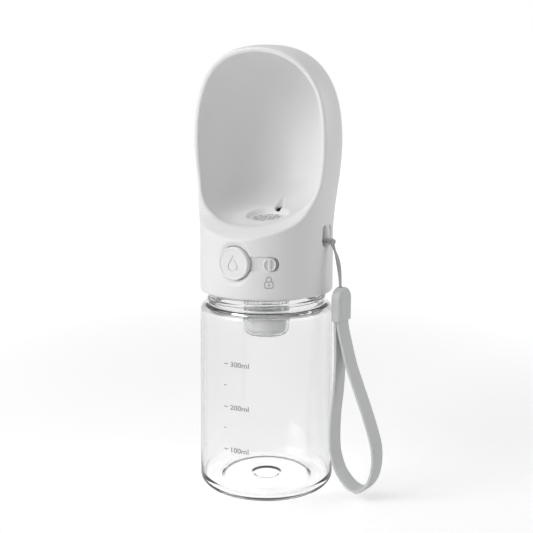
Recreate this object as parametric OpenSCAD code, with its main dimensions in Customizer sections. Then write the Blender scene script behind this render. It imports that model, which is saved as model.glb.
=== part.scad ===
// Travel water bottle for dogs: a clear screw-neck bottle under a scoop-shaped drinking head
// with a push-button valve, a slide lock, a hanging filter and a wrist strap.
// Millimetres. Z is the bottle's axis, the foot stands on Z = 0 and the button faces -Y.

/* [Bottle] */
// Outer radius of the bottle at its shoulder, and of the head's skirt
bottle_r = 38; // [37:0.5:41]
// How much wider the bottle is at its foot than at its shoulder
bottle_draft = 1; // [0:0.25:2]
// Wall of the bottle
bottle_wall = 2; // [1.4:0.1:2.4]
// Thickness of the bottle's shoulder
shoulder_t = 3.4; // [2.4:0.1:3.6]
// Height of the bottle's shoulder above its foot
shoulder_h = 107.5; // [100:1:150]
// Radius of the rounded shoulder
shoulder_round = 4.4; // [3:0.2:5]
// Radius of the rounded edge at the foot
foot_round = 5.3; // [3:0.1:7]
// Height of the neck above the shoulder
neck_h = 12.5; // [12:0.5:14]

/* [Screw thread] */
// Lead of the neck's right-hand thread
thread_pitch = 4; // [3.8:0.1:4.4]
// Height of the thread's ridge above the neck
thread_depth = 1.4; // [1.1:0.1:1.5]
// Turns of ridge on the neck
neck_turns = 2.1; // [1.5:0.1:2.1]
// Turns of ridge inside the collar
collar_turns = 0.75; // [0.5:0.05:0.75]
// Radial room between the neck's ridge and the collar
thread_room = 0.4; // [0.3:0.05:0.5]

/* [Head] */
// Neck left bare between the shoulder and the head's skirt
neck_show = 7.1; // [6.8:0.1:7.4]
// Wall of the head's skirt
skirt_wall = 2; // [1.6:0.1:2.2]
// Widest radius of the scoop
scoop_r = 42.4; // [41:0.2:45]
// Height of the scoop's top above the skirt's lower edge
head_h = 136.4; // [130:1:150]
// Wall of the scoop
scoop_wall = 3; // [2.4:0.1:3.4]
// Slope of the scoop's floor, higher at the back
floor_tilt = 12.7; // [8:0.5:15]
// Distance of the scoop's upright rim in front of the axis
rim_y = 11.3; // [8:0.5:14]
// How far the top of the rim leans further forward
rim_lean = 6.6; // [3:0.2:9]

/* [Drain] */
// Radius of the perforated drain disc
grille_r = 10.6; // [9.9:0.1:11]
// Radius of each hole in the drain disc
grille_hole_r = 0.55; // [0.4:0.05:0.7]
// Thickness of the drain disc
grille_t = 1.2; // [0.8:0.1:1.4]

/* [Button and lock] */
// Radius of the push button
button_r = 9; // [8.4:0.1:9.2]
// Travel of the push button
button_travel = 3; // [2:0.1:3]
// How far the button's face stands out in front of the skirt
button_proud = 1; // [0.4:0.1:1.4]
// Angle of the lock knob from the button, around the axis
knob_angle = 29.9; // [29:0.1:31]
// Swing of the lock knob towards the button
knob_swing = 6; // [4:0.5:6]
// Radius of the lock knob
knob_r = 3.5; // [3:0.1:3.5]

/* [Valve] */
// Radius of the water port in the deck
port_r = 4.6; // [4:0.1:5]
// Drop of the valve when the button is pressed home
valve_drop = 2.4; // [1.8:0.1:2.6]
// Radius of the valve stem
stem_r = 1.8; // [1.5:0.1:2]

/* [Filter] */
// Outer radius of the filter basket
basket_r = 13.6; // [12.8:0.1:14]
// Height of the filter basket
basket_h = 26.8; // [22:0.1:28]
// Wall of the filter basket
basket_wall = 1.2; // [0.8:0.1:1.6]
// Windows around the filter basket
basket_windows = 16; // [12:1:18]

/* [Strap] */
// Width of the strap band
band_w = 10.4; // [8:0.2:11]
// Thickness of the strap band
band_t = 1.8; // [1.4:0.1:1.8]
// Diameter of the strap's cord
cord_d = 1.3; // [1:0.1:1.5]

/* [Hidden] */

// Clearances and small seats
fit = 0.1;          // pieces pressed or clipped together
gap = 0.3;          // pieces that move past each other
run = 0.06;         // a rod running in its bore
bite = 0.4;         // how far a ridge is rooted in its wall
over = 1;           // a cut's run past the surface it opens
round_fn = 96;      // sides of a turned piece
small_fn = 40;      // sides of a small turned piece
thread_steps = 36;  // rings in a turn of thread

// Heights of the bottle and its neck
neck_r = bottle_r - shoulder_round - 1;
neck_bore = neck_r - bottle_wall - 0.2;
foot_r = bottle_r + bottle_draft;
lip_z = shoulder_h + neck_h;
seal_t = 1.4;
skirt_z = shoulder_h + neck_show;
head_top = skirt_z + head_h;
deck_z = lip_z + seal_t;
deck_t = 2;
deck_top = deck_z + deck_t;

// The collar's thread lies in the middle of the neck's groove
collar_r = bottle_r - skirt_wall - fit;
collar_bore = neck_r + thread_depth + thread_room;
ridge_root = 1.1;
ridge_crest = 0.5;
neck_ridge_z = shoulder_h + 1.5;
collar_ridge_z = skirt_z + 1.6;
neck_ridge_a = -200;
collar_ridge_a = neck_ridge_a + 360 * ((collar_ridge_z - neck_ridge_z) / thread_pitch - 0.5);

// Scoop: the flare starts above the button, the widest ring is at wide_z
flare_z = skirt_z + 33.4;
wide_z = skirt_z + 81.4;
dome_power = 2.5;
floor_z = skirt_z + 43;
lip_rim_z = skirt_z + 31.9;
rim_foot_z = skirt_z + 65.4;
lean_z = skirt_z + 107.4;
floor_t = 3.6;
under_tilt = floor_tilt + 2;
floor_round = 13;
floor_r = bottle_r - scoop_wall - 2.5;

// Drain: the disc lies flatter than the floor and below it
drain_tilt = 4.5;
drain_z = floor_z - 1.9;
recess_r = grille_r + 1.6;
drain_bore = 9.2;
vent_y = recess_r + 3.4;
port_boss_r = 13;
port_boss_z = floor_z - 7.6;
tower_r = drain_bore + 1.8;
gasket_t = 1.2;
tower_top = port_boss_z - gasket_t;

// Button: local z runs out of the button's face, from the bottle's axis
well_wall = 1.2;
well_bore = button_r + gap;
well_r = well_bore + well_wall;
button_z = deck_top + well_r + 0.6;
button_face = bottle_r + button_proud;
cap_l = 6.5;
cap_wall = 1.6;
cap_back = button_face - cap_l;
well_floor = cap_back - button_travel - 1;
well_floor_t = 2;
rod_r = 3;
dish_r = button_r + 2.1;
dish_d = 1.8;

// Valve
ramp = valve_drop / button_travel;
wedge_tip = 3.5;
wedge_back = 8;
wedge_top = button_z + 4;
wedge_w = 6;
seat_r = port_r + 2.4;
seat_z = deck_z - 1.2;
plug_z = seat_z - fit;
plug_r = port_r + 1.9;
cross_z = button_z - 4.8;
cross_t = 0.8;

// Lock
channel_h = 2 * knob_r + 0.7;
channel_floor = bottle_r - 1.1;
channel_end = knob_r + 1.8;
slider_r = bottle_r - skirt_wall - gap;
slider_t = 1.2;
slider_h = channel_h + 1.4;
knob_neck = 1.4;
slider_lead = 5.7;
tongue_lead = knob_swing + 2.6;
tongue_h = 2 * knob_r - 1;
tab_r = bottle_r - 6.4;
tab_h = 3;

// Strap lug on the +X side
lug_z = skirt_z + 33;
lug_h = 11.6;
lug_bar_w = 4;
lug_slot_w = 3.6;
lug_bar_out = bottle_r + 0.9;
lug_bar_in = bottle_r - 1.8;
lug_depth = bottle_r - 4.6;

// Filter, hung in a boss under the deck
boss_r = basket_r + 3.3;
boss_bore = basket_r + 1.7;
boss_h = 8;
basket_top = deck_z - boss_h - 0.1;
flange_t = 1.6;
basket_z = basket_top + flange_t - basket_h;
basket_taper = 0.9;

// Air valve and the plunger's seal
air_ring = (boss_r + neck_bore) / 2;
air_angle = 30;
oring_d = 1.5;
seal_y = tower_r + 3.4;

// Strap: the cord winds twice round the lug's bar and rises by hitch_rise a turn
// Its knot stands in front of the bar, and the strap swings about it
hitch_z = lug_z - lug_h / 2 + cord_d / 2 + 0.3;
knot_r = 1.9;
knot_x = lug_bar_out + knot_r + 0.1;
hitch_rise = 1.08 * cord_d;
knot_z = hitch_z + hitch_rise;
knot_l = 3.6;
// The strap's own frame has x away from the bottle and z up, with its origin in the knot
strap_yaw = -9.4;
clasp_t = 6.4;
clasp_w = band_w + 2.4;
clasp_h = 19.5;
clasp_x = 6.25;
clasp_drop = 24.4;
band_seat = 9;
// Centre line of the band, as x and height above the clasp's lower edge, down and round and back up
band_route = [[5.3, band_seat], [5.3, 3], [5.5, -8], [5.8, -24], [5, -40], [3.7, -52], [3.1, -63], [3.4, -74],
    [4.8, -80], [7.1, -85.7], [10.6, -90.2], [14.3, -93.3], [17.8, -94.6], [21.4, -94.6], [25.2, -91.7],
    [28.6, -86.2], [30.4, -79], [30.7, -73], [30, -67], [27.8, -59.7], [22.8, -46.7], [17.4, -34],
    [13, -23], [10.1, -13], [7.6, -3.5], [7.2, 1], [7.2, band_seat]];
// Each strand of the cord, from the knot down into the clasp
strand_ends = [[6.1, -0.9], [4.7, 0.9]];
strand_a = [[0.5, -0.8, -2.1], [1.6, -0.9, -3.6], [3.6, -0.9, -7], [5.1, -0.9, -11], [5.9, -0.9, -16],
    [6.1, -0.9, 1 - clasp_drop], [6.1, -0.9, -clasp_drop - 2]];
strand_b = [[0.3, 0.8, -2.1], [1, 0.8, -4.4], [2.2, 0.8, -9], [3.4, 0.8, -14.5], [4.3, 0.9, -19.5],
    [4.7, 0.9, 0.5 - clasp_drop], [4.7, 0.9, -clasp_drop - 2]];

// ---------- Helpers ----------
function arc(c, r, a0, a1, n = 6) = [for (i = [0:n]) let (a = a0 + (a1 - a0) * i / n) c + r * [cos(a), sin(a)]];
function bend(a, b, c, d, t) = 0.5 * (2 * b + (c - a) * t + (2 * a - 5 * b + 4 * c - d) * t * t
    + (3 * b - a - 3 * c + d) * t * t * t);
// A smooth path through the given points, with n steps between two of them
function smooth(p, n) = let (e = len(p) - 1) concat([for (i = [0:e - 1]) for (k = [0:n - 1])
    bend(p[max(i - 1, 0)], p[i], p[i + 1], p[min(i + 2, e)], k / n)], [p[e]]);
function unit(v) = v / norm(v);
function lead(p, i) = unit(p[min(i + 1, len(p) - 1)] - p[max(i - 1, 0)]);

// Skins a stack of rings that all have the same number of points
module skin(rings) {
    n = len(rings[0]);
    m = len(rings);
    sides = [for (i = [0:m - 2]) for (j = [0:n - 1]) let (a = i * n + j, b = i * n + (j + 1) % n)
        each [[a, b, b + n], [a, b + n, a + n]]];
    polyhedron([for (r = rings) each r],
        concat(sides, [[for (j = [n - 1:-1:0]) j]], [[for (j = [0:n - 1]) (m - 1) * n + j]]));
}

// A round cord along a path that never runs along the direction "across"
module cord(path, d, n = 8, across = [0, 0, 1]) {
    skin([for (i = [0:len(path) - 1]) let (t = lead(path, i), u = unit(cross(t, across)), v = cross(u, t))
        [for (j = [0:n - 1]) path[i] + d / 2 * (u * cos(360 * j / n) + v * sin(360 * j / n))]]);
}

// A compression spring standing on z = 0, wound as one unbroken wire
module spring(mean_r, wire, h, turns) {
    steps = 14;
    cord([for (i = [0:turns * steps]) let (a = 360 * i / steps)
        [mean_r * cos(a), mean_r * sin(a), wire / 2 + (h - wire) * i / (turns * steps)]], wire, 6);
}

// A trapezoid ridge wound right-handed on a wall, fading out at both ends
module ridge(root, crest, turns, a0, z0) {
    n = round(turns * thread_steps);
    out = crest > root ? 1 : -1;
    skin([for (i = [0:n]) let (a = a0 + out * 360 * (out > 0 ? i : i - n) / thread_steps,
            f = 0.2 + 0.8 * min(1, min(i, n - i) / 5), z = z0 + thread_pitch * (out > 0 ? i : n - i) / thread_steps,
            c = root + (crest - root) * f, w = ridge_root - (ridge_root - ridge_crest) * f)
        [for (p = [[root, -ridge_root], [c, -w], [c, w], [root, ridge_root]])
            [p[0] * cos(a), p[0] * sin(a), z + p[1]]]]);
}

module turned(points, fn = round_fn) rotate_extrude($fn = fn) polygon(points);
module ring(r, bore, h, fn = round_fn) difference() {
    cylinder(r = r, h = h, $fn = fn);
    translate([0, 0, -over]) cylinder(r = bore, h = h + 2 * over, $fn = fn);
}
module at_button() translate([0, 0, button_z]) rotate([90, 0, 0]) children();
module at_knob(a = knob_angle) rotate([0, 0, a]) at_button() children();
module at_floor() translate([0, 0, floor_z]) rotate([floor_tilt, 0, 0]) children();
module at_drain() translate([0, 0, drain_z]) rotate([drain_tilt, 0, 0]) children();
module at_strap() translate([knot_x, 0, knot_z]) rotate([0, 0, strap_yaw]) children();
module side_view(w) rotate([90, 0, 90]) translate([0, 0, -w / 2]) linear_extrude(w) children();

// ---------- Bottle ----------
punt_r = foot_r - foot_round - 7.5;
punt_h = 3;
pip_r = 8;

module bottle() color([0.93, 0.95, 0.96, 0.35]) {
    in_r = bottle_r - bottle_wall;
    in_foot = foot_r - bottle_wall;
    floor_in = punt_h + 2.2;
    turned(concat(
        [[0, punt_h - 1], [pip_r - 1, punt_h - 1], [pip_r, punt_h], [punt_r - 2, punt_h], [punt_r, 0]],
        arc([foot_r - foot_round, foot_round], foot_round, -90, 0, 8),
        arc([bottle_r - shoulder_round, shoulder_h - shoulder_round], shoulder_round, 0, 90, 8),
        [[neck_r + 0.4, shoulder_h], [neck_r, shoulder_h + 0.5]],
        arc([neck_r - 0.6, lip_z - 0.6], 0.6, 0, 90, 3),
        arc([neck_bore + 0.6, lip_z - 0.6], 0.6, 90, 180, 3),
        [[neck_bore, shoulder_h - shoulder_t + 0.6]],
        arc([in_r - shoulder_round, shoulder_h - shoulder_t - shoulder_round], shoulder_round, 90, 0, 8),
        arc([in_foot - foot_round, floor_in - 0.8 + foot_round], foot_round, 0, -90, 8),
        [[punt_r + 1, floor_in - 0.8], [punt_r - 1, floor_in], [pip_r + 1, floor_in],
            [pip_r, floor_in - 0.8], [0, floor_in - 0.8]]));
    ridge(neck_r - bite, neck_r + thread_depth, neck_turns, neck_ridge_a, neck_ridge_z);
}

module neck_seal() color([0.86, 0.87, 0.88]) translate([0, 0, lip_z])
    ring(neck_r + 0.6, neck_bore + 0.2, seal_t);

// ---------- Head ----------
// Outer radius of the scoop at a height, without the front cut
function flare(t) = 3 * t * t - 2 * t * t * t;
function scoop_radius(z) = z <= flare_z ? bottle_r : z < wide_z
    ? bottle_r + (scoop_r - bottle_r) * flare((z - flare_z) / (wide_z - flare_z))
    : scoop_r * pow(1 - pow((z - wide_z) / (head_top - wide_z), dome_power), 1 / dome_power);
function dome_at(r, h, z0, i, n) = let (a = 90 * i / n) [r * pow(cos(a), 2 / dome_power), z0 + h * pow(sin(a), 2 / dome_power)];

module scoop_form() {
    skirt_round = 1.3;
    flare_steps = 8;
    dome_steps = 12;
    turned(concat([[0, skirt_z]],
        arc([bottle_r - skirt_round, skirt_z + skirt_round], skirt_round, -90, 0, 4),
        [for (i = [0:flare_steps]) let (z = flare_z + (wide_z - flare_z) * i / flare_steps) [scoop_radius(z), z]],
        [for (i = [1:dome_steps - 1]) dome_at(scoop_r, head_top - wide_z, wide_z, i, dome_steps)],
        [[0, head_top]]));
}

// Side view of what the front of the scoop leaves open, as [y, z]
function rim_sweep(z) = let (u = max(0, (rim_foot_z - z) / (rim_foot_z - lip_rim_z)))
    -rim_y - (bottle_r - rim_y) * (1 - pow(max(0, 1 - pow(u, 1.7)), 0.7));
function rim_top(z) = -rim_y - rim_lean * pow((z - lean_z) / (head_top - lean_z), 1.5);
module front_cut() {
    steps = 10;
    side_view(3 * scoop_r) polygon(concat(
        [[-2 * scoop_r, lip_rim_z - over], [-bottle_r - over, lip_rim_z - over]],
        [for (i = [0:steps]) let (z = lip_rim_z + (rim_foot_z - lip_rim_z) * i / steps) [rim_sweep(z), z]],
        [for (i = [0:5]) let (z = lean_z + (head_top - lean_z) * i / 5) [rim_top(z), z]],
        [[rim_top(head_top) - over, head_top + over], [-2 * scoop_r, head_top + over]]));
}

// The drinking bowl: the scoop's inner wall, and below it a rounded floor blended into that wall
module bowl() {
    inner_top = head_top - scoop_wall;
    flare_steps = 8;
    blend_z = (flare_z + wide_z) / 2;
    turned(concat([[0, blend_z]],
        [for (i = [flare_steps / 2:flare_steps]) let (z = flare_z + (wide_z - flare_z) * i / flare_steps)
            [scoop_radius(z) - scoop_wall, z]],
        [for (i = [1:11]) dome_at(scoop_r - scoop_wall, inner_top - wide_z, wide_z, i, 12)],
        [[0, inner_top]]));
    hull() {
        at_floor() translate([0, -1.5, floor_round])
            rotate_extrude($fn = 64) translate([floor_r - floor_round, 0]) circle(r = floor_round, $fn = 24);
        translate([0, 0, blend_z]) cylinder(r = scoop_radius(blend_z) - scoop_wall - 0.05, h = 0.4, $fn = 64);
    }
}

// Pocket that the strap's cord passes through, with the bar left standing in it
lug_reach = lug_bar_w / 2 + lug_slot_w;
module rounded(w, h, r) polygon(concat(arc([w - r, h - r], r, 0, 90), arc([r - w, h - r], r, 90, 180),
    arc([r - w, r - h], r, 180, 270), arc([w - r, r - h], r, 270, 360)));
module lug_cut() translate([lug_depth, 0, lug_z]) difference() {
    rotate([90, 0, 90]) linear_extrude(bottle_r) rounded(lug_reach, lug_h / 2, 3);
    translate([lug_bar_in - lug_depth, -lug_bar_w / 2, -lug_h]) cube([bottle_r, lug_bar_w, 2 * lug_h]);
}
module lug_housing() {
    wall = 1.6;
    bar = (lug_bar_out - lug_bar_in) / 2;
    intersection() {
        translate([lug_depth - wall, 0, lug_z]) rotate([90, 0, 90]) linear_extrude(bottle_r)
            rounded(lug_reach + wall, lug_h / 2 + wall, 3 + wall);
        cylinder(r = bottle_r, h = head_top, $fn = round_fn);
    }
    hull() for (s = [-1, 1]) translate([lug_bar_out - bar, 0, lug_z + s * (lug_h / 2 - 0.2)])
        rotate([90, 0, 0]) cylinder(r = bar, h = lug_bar_w, center = true, $fn = 24);
}

module lock_channel() {
    h = channel_h / 2;
    intersection() {
        translate([0, 0, button_z - channel_h]) ring(bottle_r + 2, channel_floor, 2 * channel_h);
        at_knob() linear_extrude(2 * bottle_r)
            polygon(concat(arc([channel_end - h, 0], h, -90, 90, 12), [[-knob_r - 7, h], [-knob_r - 7, -h]]));
    }
    translate([0, 0, button_z]) rotate([0, 0, knob_angle - knob_swing - 2.4 - 90])
        rotate_extrude(angle = knob_swing + 4.8, $fn = round_fn)
        translate([slider_r - 1, -knob_neck - gap]) square([4, 2 * (knob_neck + gap)]);
}

module under_floor() translate([0, 0, floor_z]) rotate([under_tilt, 0, 0]) translate([0, 0, -floor_t - 80])
    cylinder(r = 2 * bottle_r, h = 80, $fn = small_fn);

screw_r = 1.2;
screw_ring = neck_bore - 5.4;
screw_angles = [90, 210, 330];
boss_wall = 2;

module head_shell() color([0.92, 0.92, 0.92]) difference() {
    intersection() {
        union() {
            difference() {
                scoop_form();
                intersection() {
                    translate([0, 0, skirt_z - over]) cylinder(r = bottle_r - skirt_wall, h = 60, $fn = round_fn);
                    under_floor();
                }
            }
            at_button() translate([0, 0, well_floor - well_floor_t])
                cylinder(r = well_r, h = bottle_r - skirt_wall / 2 - well_floor + well_floor_t, $fn = round_fn);
            translate([0, 0, port_boss_z]) cylinder(r = port_boss_r, h = 8, $fn = round_fn);
            for (a = screw_angles) rotate([0, 0, a]) translate([screw_ring, 0, deck_top])
                cylinder(r = screw_r + boss_wall, h = 38, $fn = small_fn);
            lug_housing();
        }
        cylinder(r = scoop_r + over, h = head_top + over, $fn = round_fn);
    }
    bowl();
    front_cut();
    hull() {
        at_floor() cylinder(r = recess_r, h = 0.05, $fn = 64);
        at_drain() cylinder(r = grille_r + 2 * fit, h = 0.05, $fn = 64);
    }
    at_drain() translate([0, 0, -grille_t]) cylinder(r = grille_r + fit, h = grille_t + 0.2, $fn = round_fn);
    at_floor() hull() {
        translate([0, vent_y, -8]) cylinder(r = 1.7, h = 16, $fn = 24);
        translate([0, vent_y + 4.6, -8]) cylinder(r = 0.5, h = 16, $fn = 24);
    }
    translate([0, 0, port_boss_z - over]) cylinder(r = drain_bore, h = floor_z - port_boss_z - 0.5, $fn = round_fn);
    at_button() {
        translate([0, 0, well_floor]) cylinder(r = well_bore, h = bottle_r, $fn = round_fn);
        translate([0, 0, bottle_r - dish_d]) cylinder(r1 = well_bore, r2 = dish_r + 0.6, h = dish_d + 0.6, $fn = round_fn);
        cylinder(r = rod_r + run, h = bottle_r, $fn = small_fn);
        translate([well_bore - 0.5, -tab_h / 2 - gap, tab_r - 2.4]) cube([well_wall + 1.5, tab_h + 2 * gap, 4]);
    }
    for (a = screw_angles) rotate([0, 0, a]) translate([screw_ring, 0, deck_top - over])
        cylinder(r = screw_r + 0.05, h = 12 + over, $fn = small_fn);
    lock_channel();
    lug_cut();
}

module collar_deck() color([0.9, 0.9, 0.91]) {
    difference() {
        union() {
            translate([0, 0, skirt_z + 0.5]) ring(collar_r, collar_bore, deck_z - skirt_z);
            translate([0, 0, deck_z]) cylinder(r = collar_r, h = deck_t, $fn = round_fn);
            translate([0, 0, deck_z - boss_h]) cylinder(r = boss_r, h = boss_h + 0.5, $fn = round_fn);
        }
        translate([0, 0, deck_z - boss_h - over]) cylinder(r = boss_bore, h = boss_h + over, $fn = round_fn);
        translate([0, 0, deck_z - over]) cylinder(r = seat_r + fit, h = deck_t + 2 * over, $fn = round_fn);
        for (a = screw_angles) rotate([0, 0, a]) translate([screw_ring, 0, deck_z - over])
            cylinder(r = screw_r + 0.3, h = deck_t + 2 * over, $fn = small_fn);
        rotate([0, 0, air_angle]) translate([air_ring, 0, deck_z - over]) cylinder(r = 1.6, h = deck_t + 2 * over, $fn = small_fn);
        for (s = [-1, 1]) translate([s * tower_ear, 0, deck_z - over])
            cylinder(r = 0.8 + 0.3, h = deck_t + 2 * over, $fn = small_fn);
    }
    ridge(collar_bore + bite, neck_r + 0.6, collar_turns, collar_ridge_a, collar_ridge_z);
}

tower_ear = tower_r + 2.2;
module valve_tower() color([0.84, 0.86, 0.88]) difference() {
    union() {
        translate([0, 0, deck_top]) cylinder(r = tower_r, h = tower_top - deck_top, $fn = round_fn);
        hull() for (s = [-1, 1]) translate([s * tower_ear, 0, deck_top]) cylinder(r = 2.4, h = 1.8, $fn = 24);
        at_button() cylinder(r = rod_r + oring_d + 1.2, h = seal_y, $fn = small_fn);
    }
    translate([0, 0, deck_top + 1.6]) cylinder(r = drain_bore, h = tower_top, $fn = round_fn);
    translate([0, 0, deck_top - over]) cylinder(r = seat_r + fit, h = 6, $fn = round_fn);
    at_button() cylinder(r = rod_r + run, h = 2 * tower_r, $fn = small_fn);
    at_button() translate([0, 0, seal_y - oring_d - 0.3]) cylinder(r = rod_r + run + oring_d, h = oring_d + over, $fn = small_fn);
    for (s = [-1, 1]) translate([s * tower_ear, 0, deck_top - over]) cylinder(r = 0.85, h = 4, $fn = small_fn);
}
module tower_gasket() color([0.8, 0.81, 0.82]) translate([0, 0, tower_top]) ring(tower_r, drain_bore + 0.2, gasket_t);

module drain_grille() color([0.88, 0.88, 0.88]) at_drain() translate([0, 0, -grille_t]) difference() {
    cylinder(r = grille_r, h = grille_t, $fn = round_fn);
    pitch = 2.15;
    for (i = [-5:5]) for (j = [-5:5]) let (x = (i + (j % 2) / 2) * pitch, y = j * pitch * 0.866)
        if (norm([x, y]) < grille_r - 1.4) translate([x, y, -over])
            cylinder(r = grille_hole_r, h = grille_t + 2 * over, $fn = 16);
}

module pan_screw(r, length, head_r, head_h) {
    cylinder(r = head_r, h = head_h, $fn = small_fn);
    translate([0, 0, head_h - 0.1]) cylinder(r = r, h = length + 0.1, $fn = small_fn);
    translate([0, 0, head_h + length]) cylinder(r1 = r, r2 = r / 3, h = r, $fn = small_fn);
}
module deck_screws() color("silver") for (a = screw_angles) rotate([0, 0, a])
    translate([screw_ring, 0, deck_z - 1.6]) pan_screw(screw_r, 10, 2.5, 1.6);
module tower_screws() color("silver") for (s = [-1, 1]) translate([s * tower_ear, 0, deck_z - 1.1])
    pan_screw(0.8, deck_t + 1.7, 1.6, 1.1);

// ---------- Valve ----------
module valve_seat() color([0.78, 0.79, 0.8]) {
    translate([0, 0, seat_z]) ring(seat_r + 0.9, port_r, deck_z - seat_z);
    translate([0, 0, deck_z]) ring(seat_r, port_r, deck_t);
}
module air_valve() color([0.78, 0.79, 0.8]) rotate([0, 0, air_angle]) translate([air_ring, 0, 0]) {
    translate([0, 0, deck_z]) cylinder(r = 1.5, h = deck_t, $fn = small_fn);
    translate([0, 0, deck_top]) cylinder(r1 = 3, r2 = 1.2, h = 1, $fn = small_fn);
    translate([0, 0, deck_z - 0.8]) cylinder(r = 2.2, h = 0.8, $fn = small_fn);
}
// The crosshead's sloped top lies under the plunger's ramp
module valve_stem() color([0.88, 0.89, 0.9]) {
    translate([0, 0, plug_z - 3.4]) cylinder(r = stem_r, h = cross_z - plug_z + 3.5, $fn = small_fn);
    translate([0, 0, cross_z]) cylinder(r = port_r + 1.8, h = cross_t, $fn = small_fn);
    side_view(wedge_w) polygon([[-3, cross_z], [3, cross_z], [3, button_z + 3 * ramp - 0.2], [-3, button_z - 3 * ramp - 0.2]]);
}
module valve_plug() color([0.72, 0.73, 0.74]) difference() {
    turned([[0, plug_z - 3], [2.6, plug_z - 3], [plug_r - 1, plug_z - 1.4], [plug_r, plug_z - 0.4], [plug_r, plug_z],
        [port_r - 0.1, plug_z], [port_r - 0.9, plug_z + 1.2], [0, plug_z + 1.2]], small_fn);
    translate([0, 0, plug_z - 3 - over]) cylinder(r = stem_r, h = 6 + over, $fn = small_fn);
}
module stem_clip() color("silver") translate([0, 0, plug_z - 3.7]) difference() {
    cylinder(r = stem_r + 1.2, h = 0.6, $fn = small_fn);
    translate([0, 0, -over]) cylinder(r = stem_r, h = 0.6 + 2 * over, $fn = small_fn);
}
spring_z = deck_top;
module valve_spring() color("silver") translate([0, 0, spring_z])
    spring((port_r + seat_r) / 2, 0.7, cross_z - spring_z, 4);

// ---------- Button ----------
module button_cap() color([0.93, 0.93, 0.93]) at_button() difference() {
    translate([0, 0, cap_back]) {
        cylinder(r = button_r, h = cap_l - 1, $fn = round_fn);
        translate([0, 0, cap_l - 1]) turned([[0, 0], [button_r, 0], [button_r - 0.3, 0.5], [button_r - 1, 0.85], [0, 1]]);
    }
    translate([0, 0, cap_back - over]) cylinder(r = button_r - cap_wall, h = cap_l - 2.2 + over, $fn = round_fn);
}
cap_inside = button_face - 2.2;
module button_plunger() color([0.85, 0.86, 0.87]) {
    at_button() translate([0, 0, wedge_back - 0.2]) cylinder(r = rod_r, h = cap_inside - wedge_back + 0.2, $fn = small_fn);
    side_view(wedge_w) polygon([[-wedge_back, wedge_top], [-wedge_back, button_z - rod_r],
        [-rod_r / ramp, button_z - rod_r], [wedge_tip, button_z + wedge_tip * ramp], [wedge_tip, wedge_top]]);
}
module plunger_oring() color([0.35, 0.36, 0.37]) at_button() translate([0, 0, seal_y - oring_d / 2 - 0.3])
    rotate_extrude($fn = small_fn) translate([rod_r + run + oring_d / 2, 0]) circle(r = oring_d / 2, $fn = 16);
module plunger_clip() color("silver") at_button() translate([0, 0, well_floor - well_floor_t - 0.8])
    ring(rod_r + 1.6, rod_r, 0.7, small_fn);
module button_spring() color("silver") at_button() translate([0, 0, well_floor])
    spring(rod_r + 1.9, 0.7, cap_inside - well_floor, 5);

// ---------- Lock ----------
// The knob's tongue covers the slot beside it
module lock_knob() color([0.9, 0.9, 0.9]) {
    translate([0, 0, button_z]) rotate([0, 0, knob_angle - tongue_lead - 90])
        rotate_extrude(angle = tongue_lead - 1, $fn = round_fn)
        translate([channel_floor + 0.1, -tongue_h / 2]) square([0.5, tongue_h]);
    at_knob() {
        translate([0, 0, channel_floor + 0.2]) cylinder(r = knob_r, h = bottle_r - channel_floor + 0.5, $fn = small_fn);
        translate([-0.7, -knob_r + 0.6, channel_floor + 1]) cube([1.4, 2 * knob_r - 1.2, bottle_r - channel_floor + 0.4]);
        translate([0, 0, slider_r - slider_t]) cylinder(r = knob_neck - 0.02, h = channel_floor - slider_r + slider_t + 0.5, $fn = small_fn);
    }
}
module lock_slider() color([0.82, 0.83, 0.84]) difference() {
    rotate([0, 0, knob_angle - slider_lead - 90]) {
        translate([0, 0, button_z - slider_h / 2]) rotate_extrude(angle = 17, $fn = round_fn)
            translate([slider_r - slider_t, 0]) square([slider_t, slider_h]);
        translate([0, 0, button_z - tab_h / 2]) rotate_extrude(angle = 2.6, $fn = round_fn)
            translate([tab_r, 0]) square([slider_r - tab_r - 0.1, tab_h]);
    }
    at_knob() translate([0, 0, slider_r - slider_t - fit]) cylinder(r = knob_neck, h = bottle_r, $fn = small_fn);
}

// ---------- Filter ----------
module filter_basket() color([0.75, 0.77, 0.79, 0.7]) difference() {
    low_r = basket_r - basket_taper;
    union() {
        turned(concat([[0, basket_z]], arc([low_r - 2, basket_z + 2], 2, -90, 0, 5),
            [[basket_r, basket_top], [boss_bore - fit, basket_top + 0.1], [boss_bore - fit, basket_top + flange_t],
                [basket_r - basket_wall, basket_top + flange_t], [low_r - basket_wall, basket_z + basket_wall + 1.5],
                [low_r - basket_wall - 1.5, basket_z + basket_wall], [0, basket_z + basket_wall]]));
        for (a = screw_angles) rotate([0, 0, a]) translate([basket_r - 0.4, -2, basket_top + flange_t])
            cube([boss_bore - basket_r + 0.3, 4, boss_h - flange_t - 0.6]);
    }
    for (i = [0:basket_windows - 1]) rotate([0, 0, 360 * i / basket_windows])
        translate([basket_r - 3, -1.3, basket_top - 11.3]) cube([5, 2.6, 7.2]);
}
filter_r = basket_r - basket_taper - basket_wall - 0.3;
pad_z = basket_z + basket_wall;
module filter_pad() color([0.97, 0.97, 0.96]) translate([0, 0, pad_z + 0.1]) cylinder(r1 = filter_r - 1.4, r2 = filter_r, h = 2.4, $fn = small_fn);
module filter_core() color([0.93, 0.93, 0.91]) translate([0, 0, pad_z + 2.6]) cylinder(r = filter_r, h = 10, $fn = round_fn);
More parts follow.
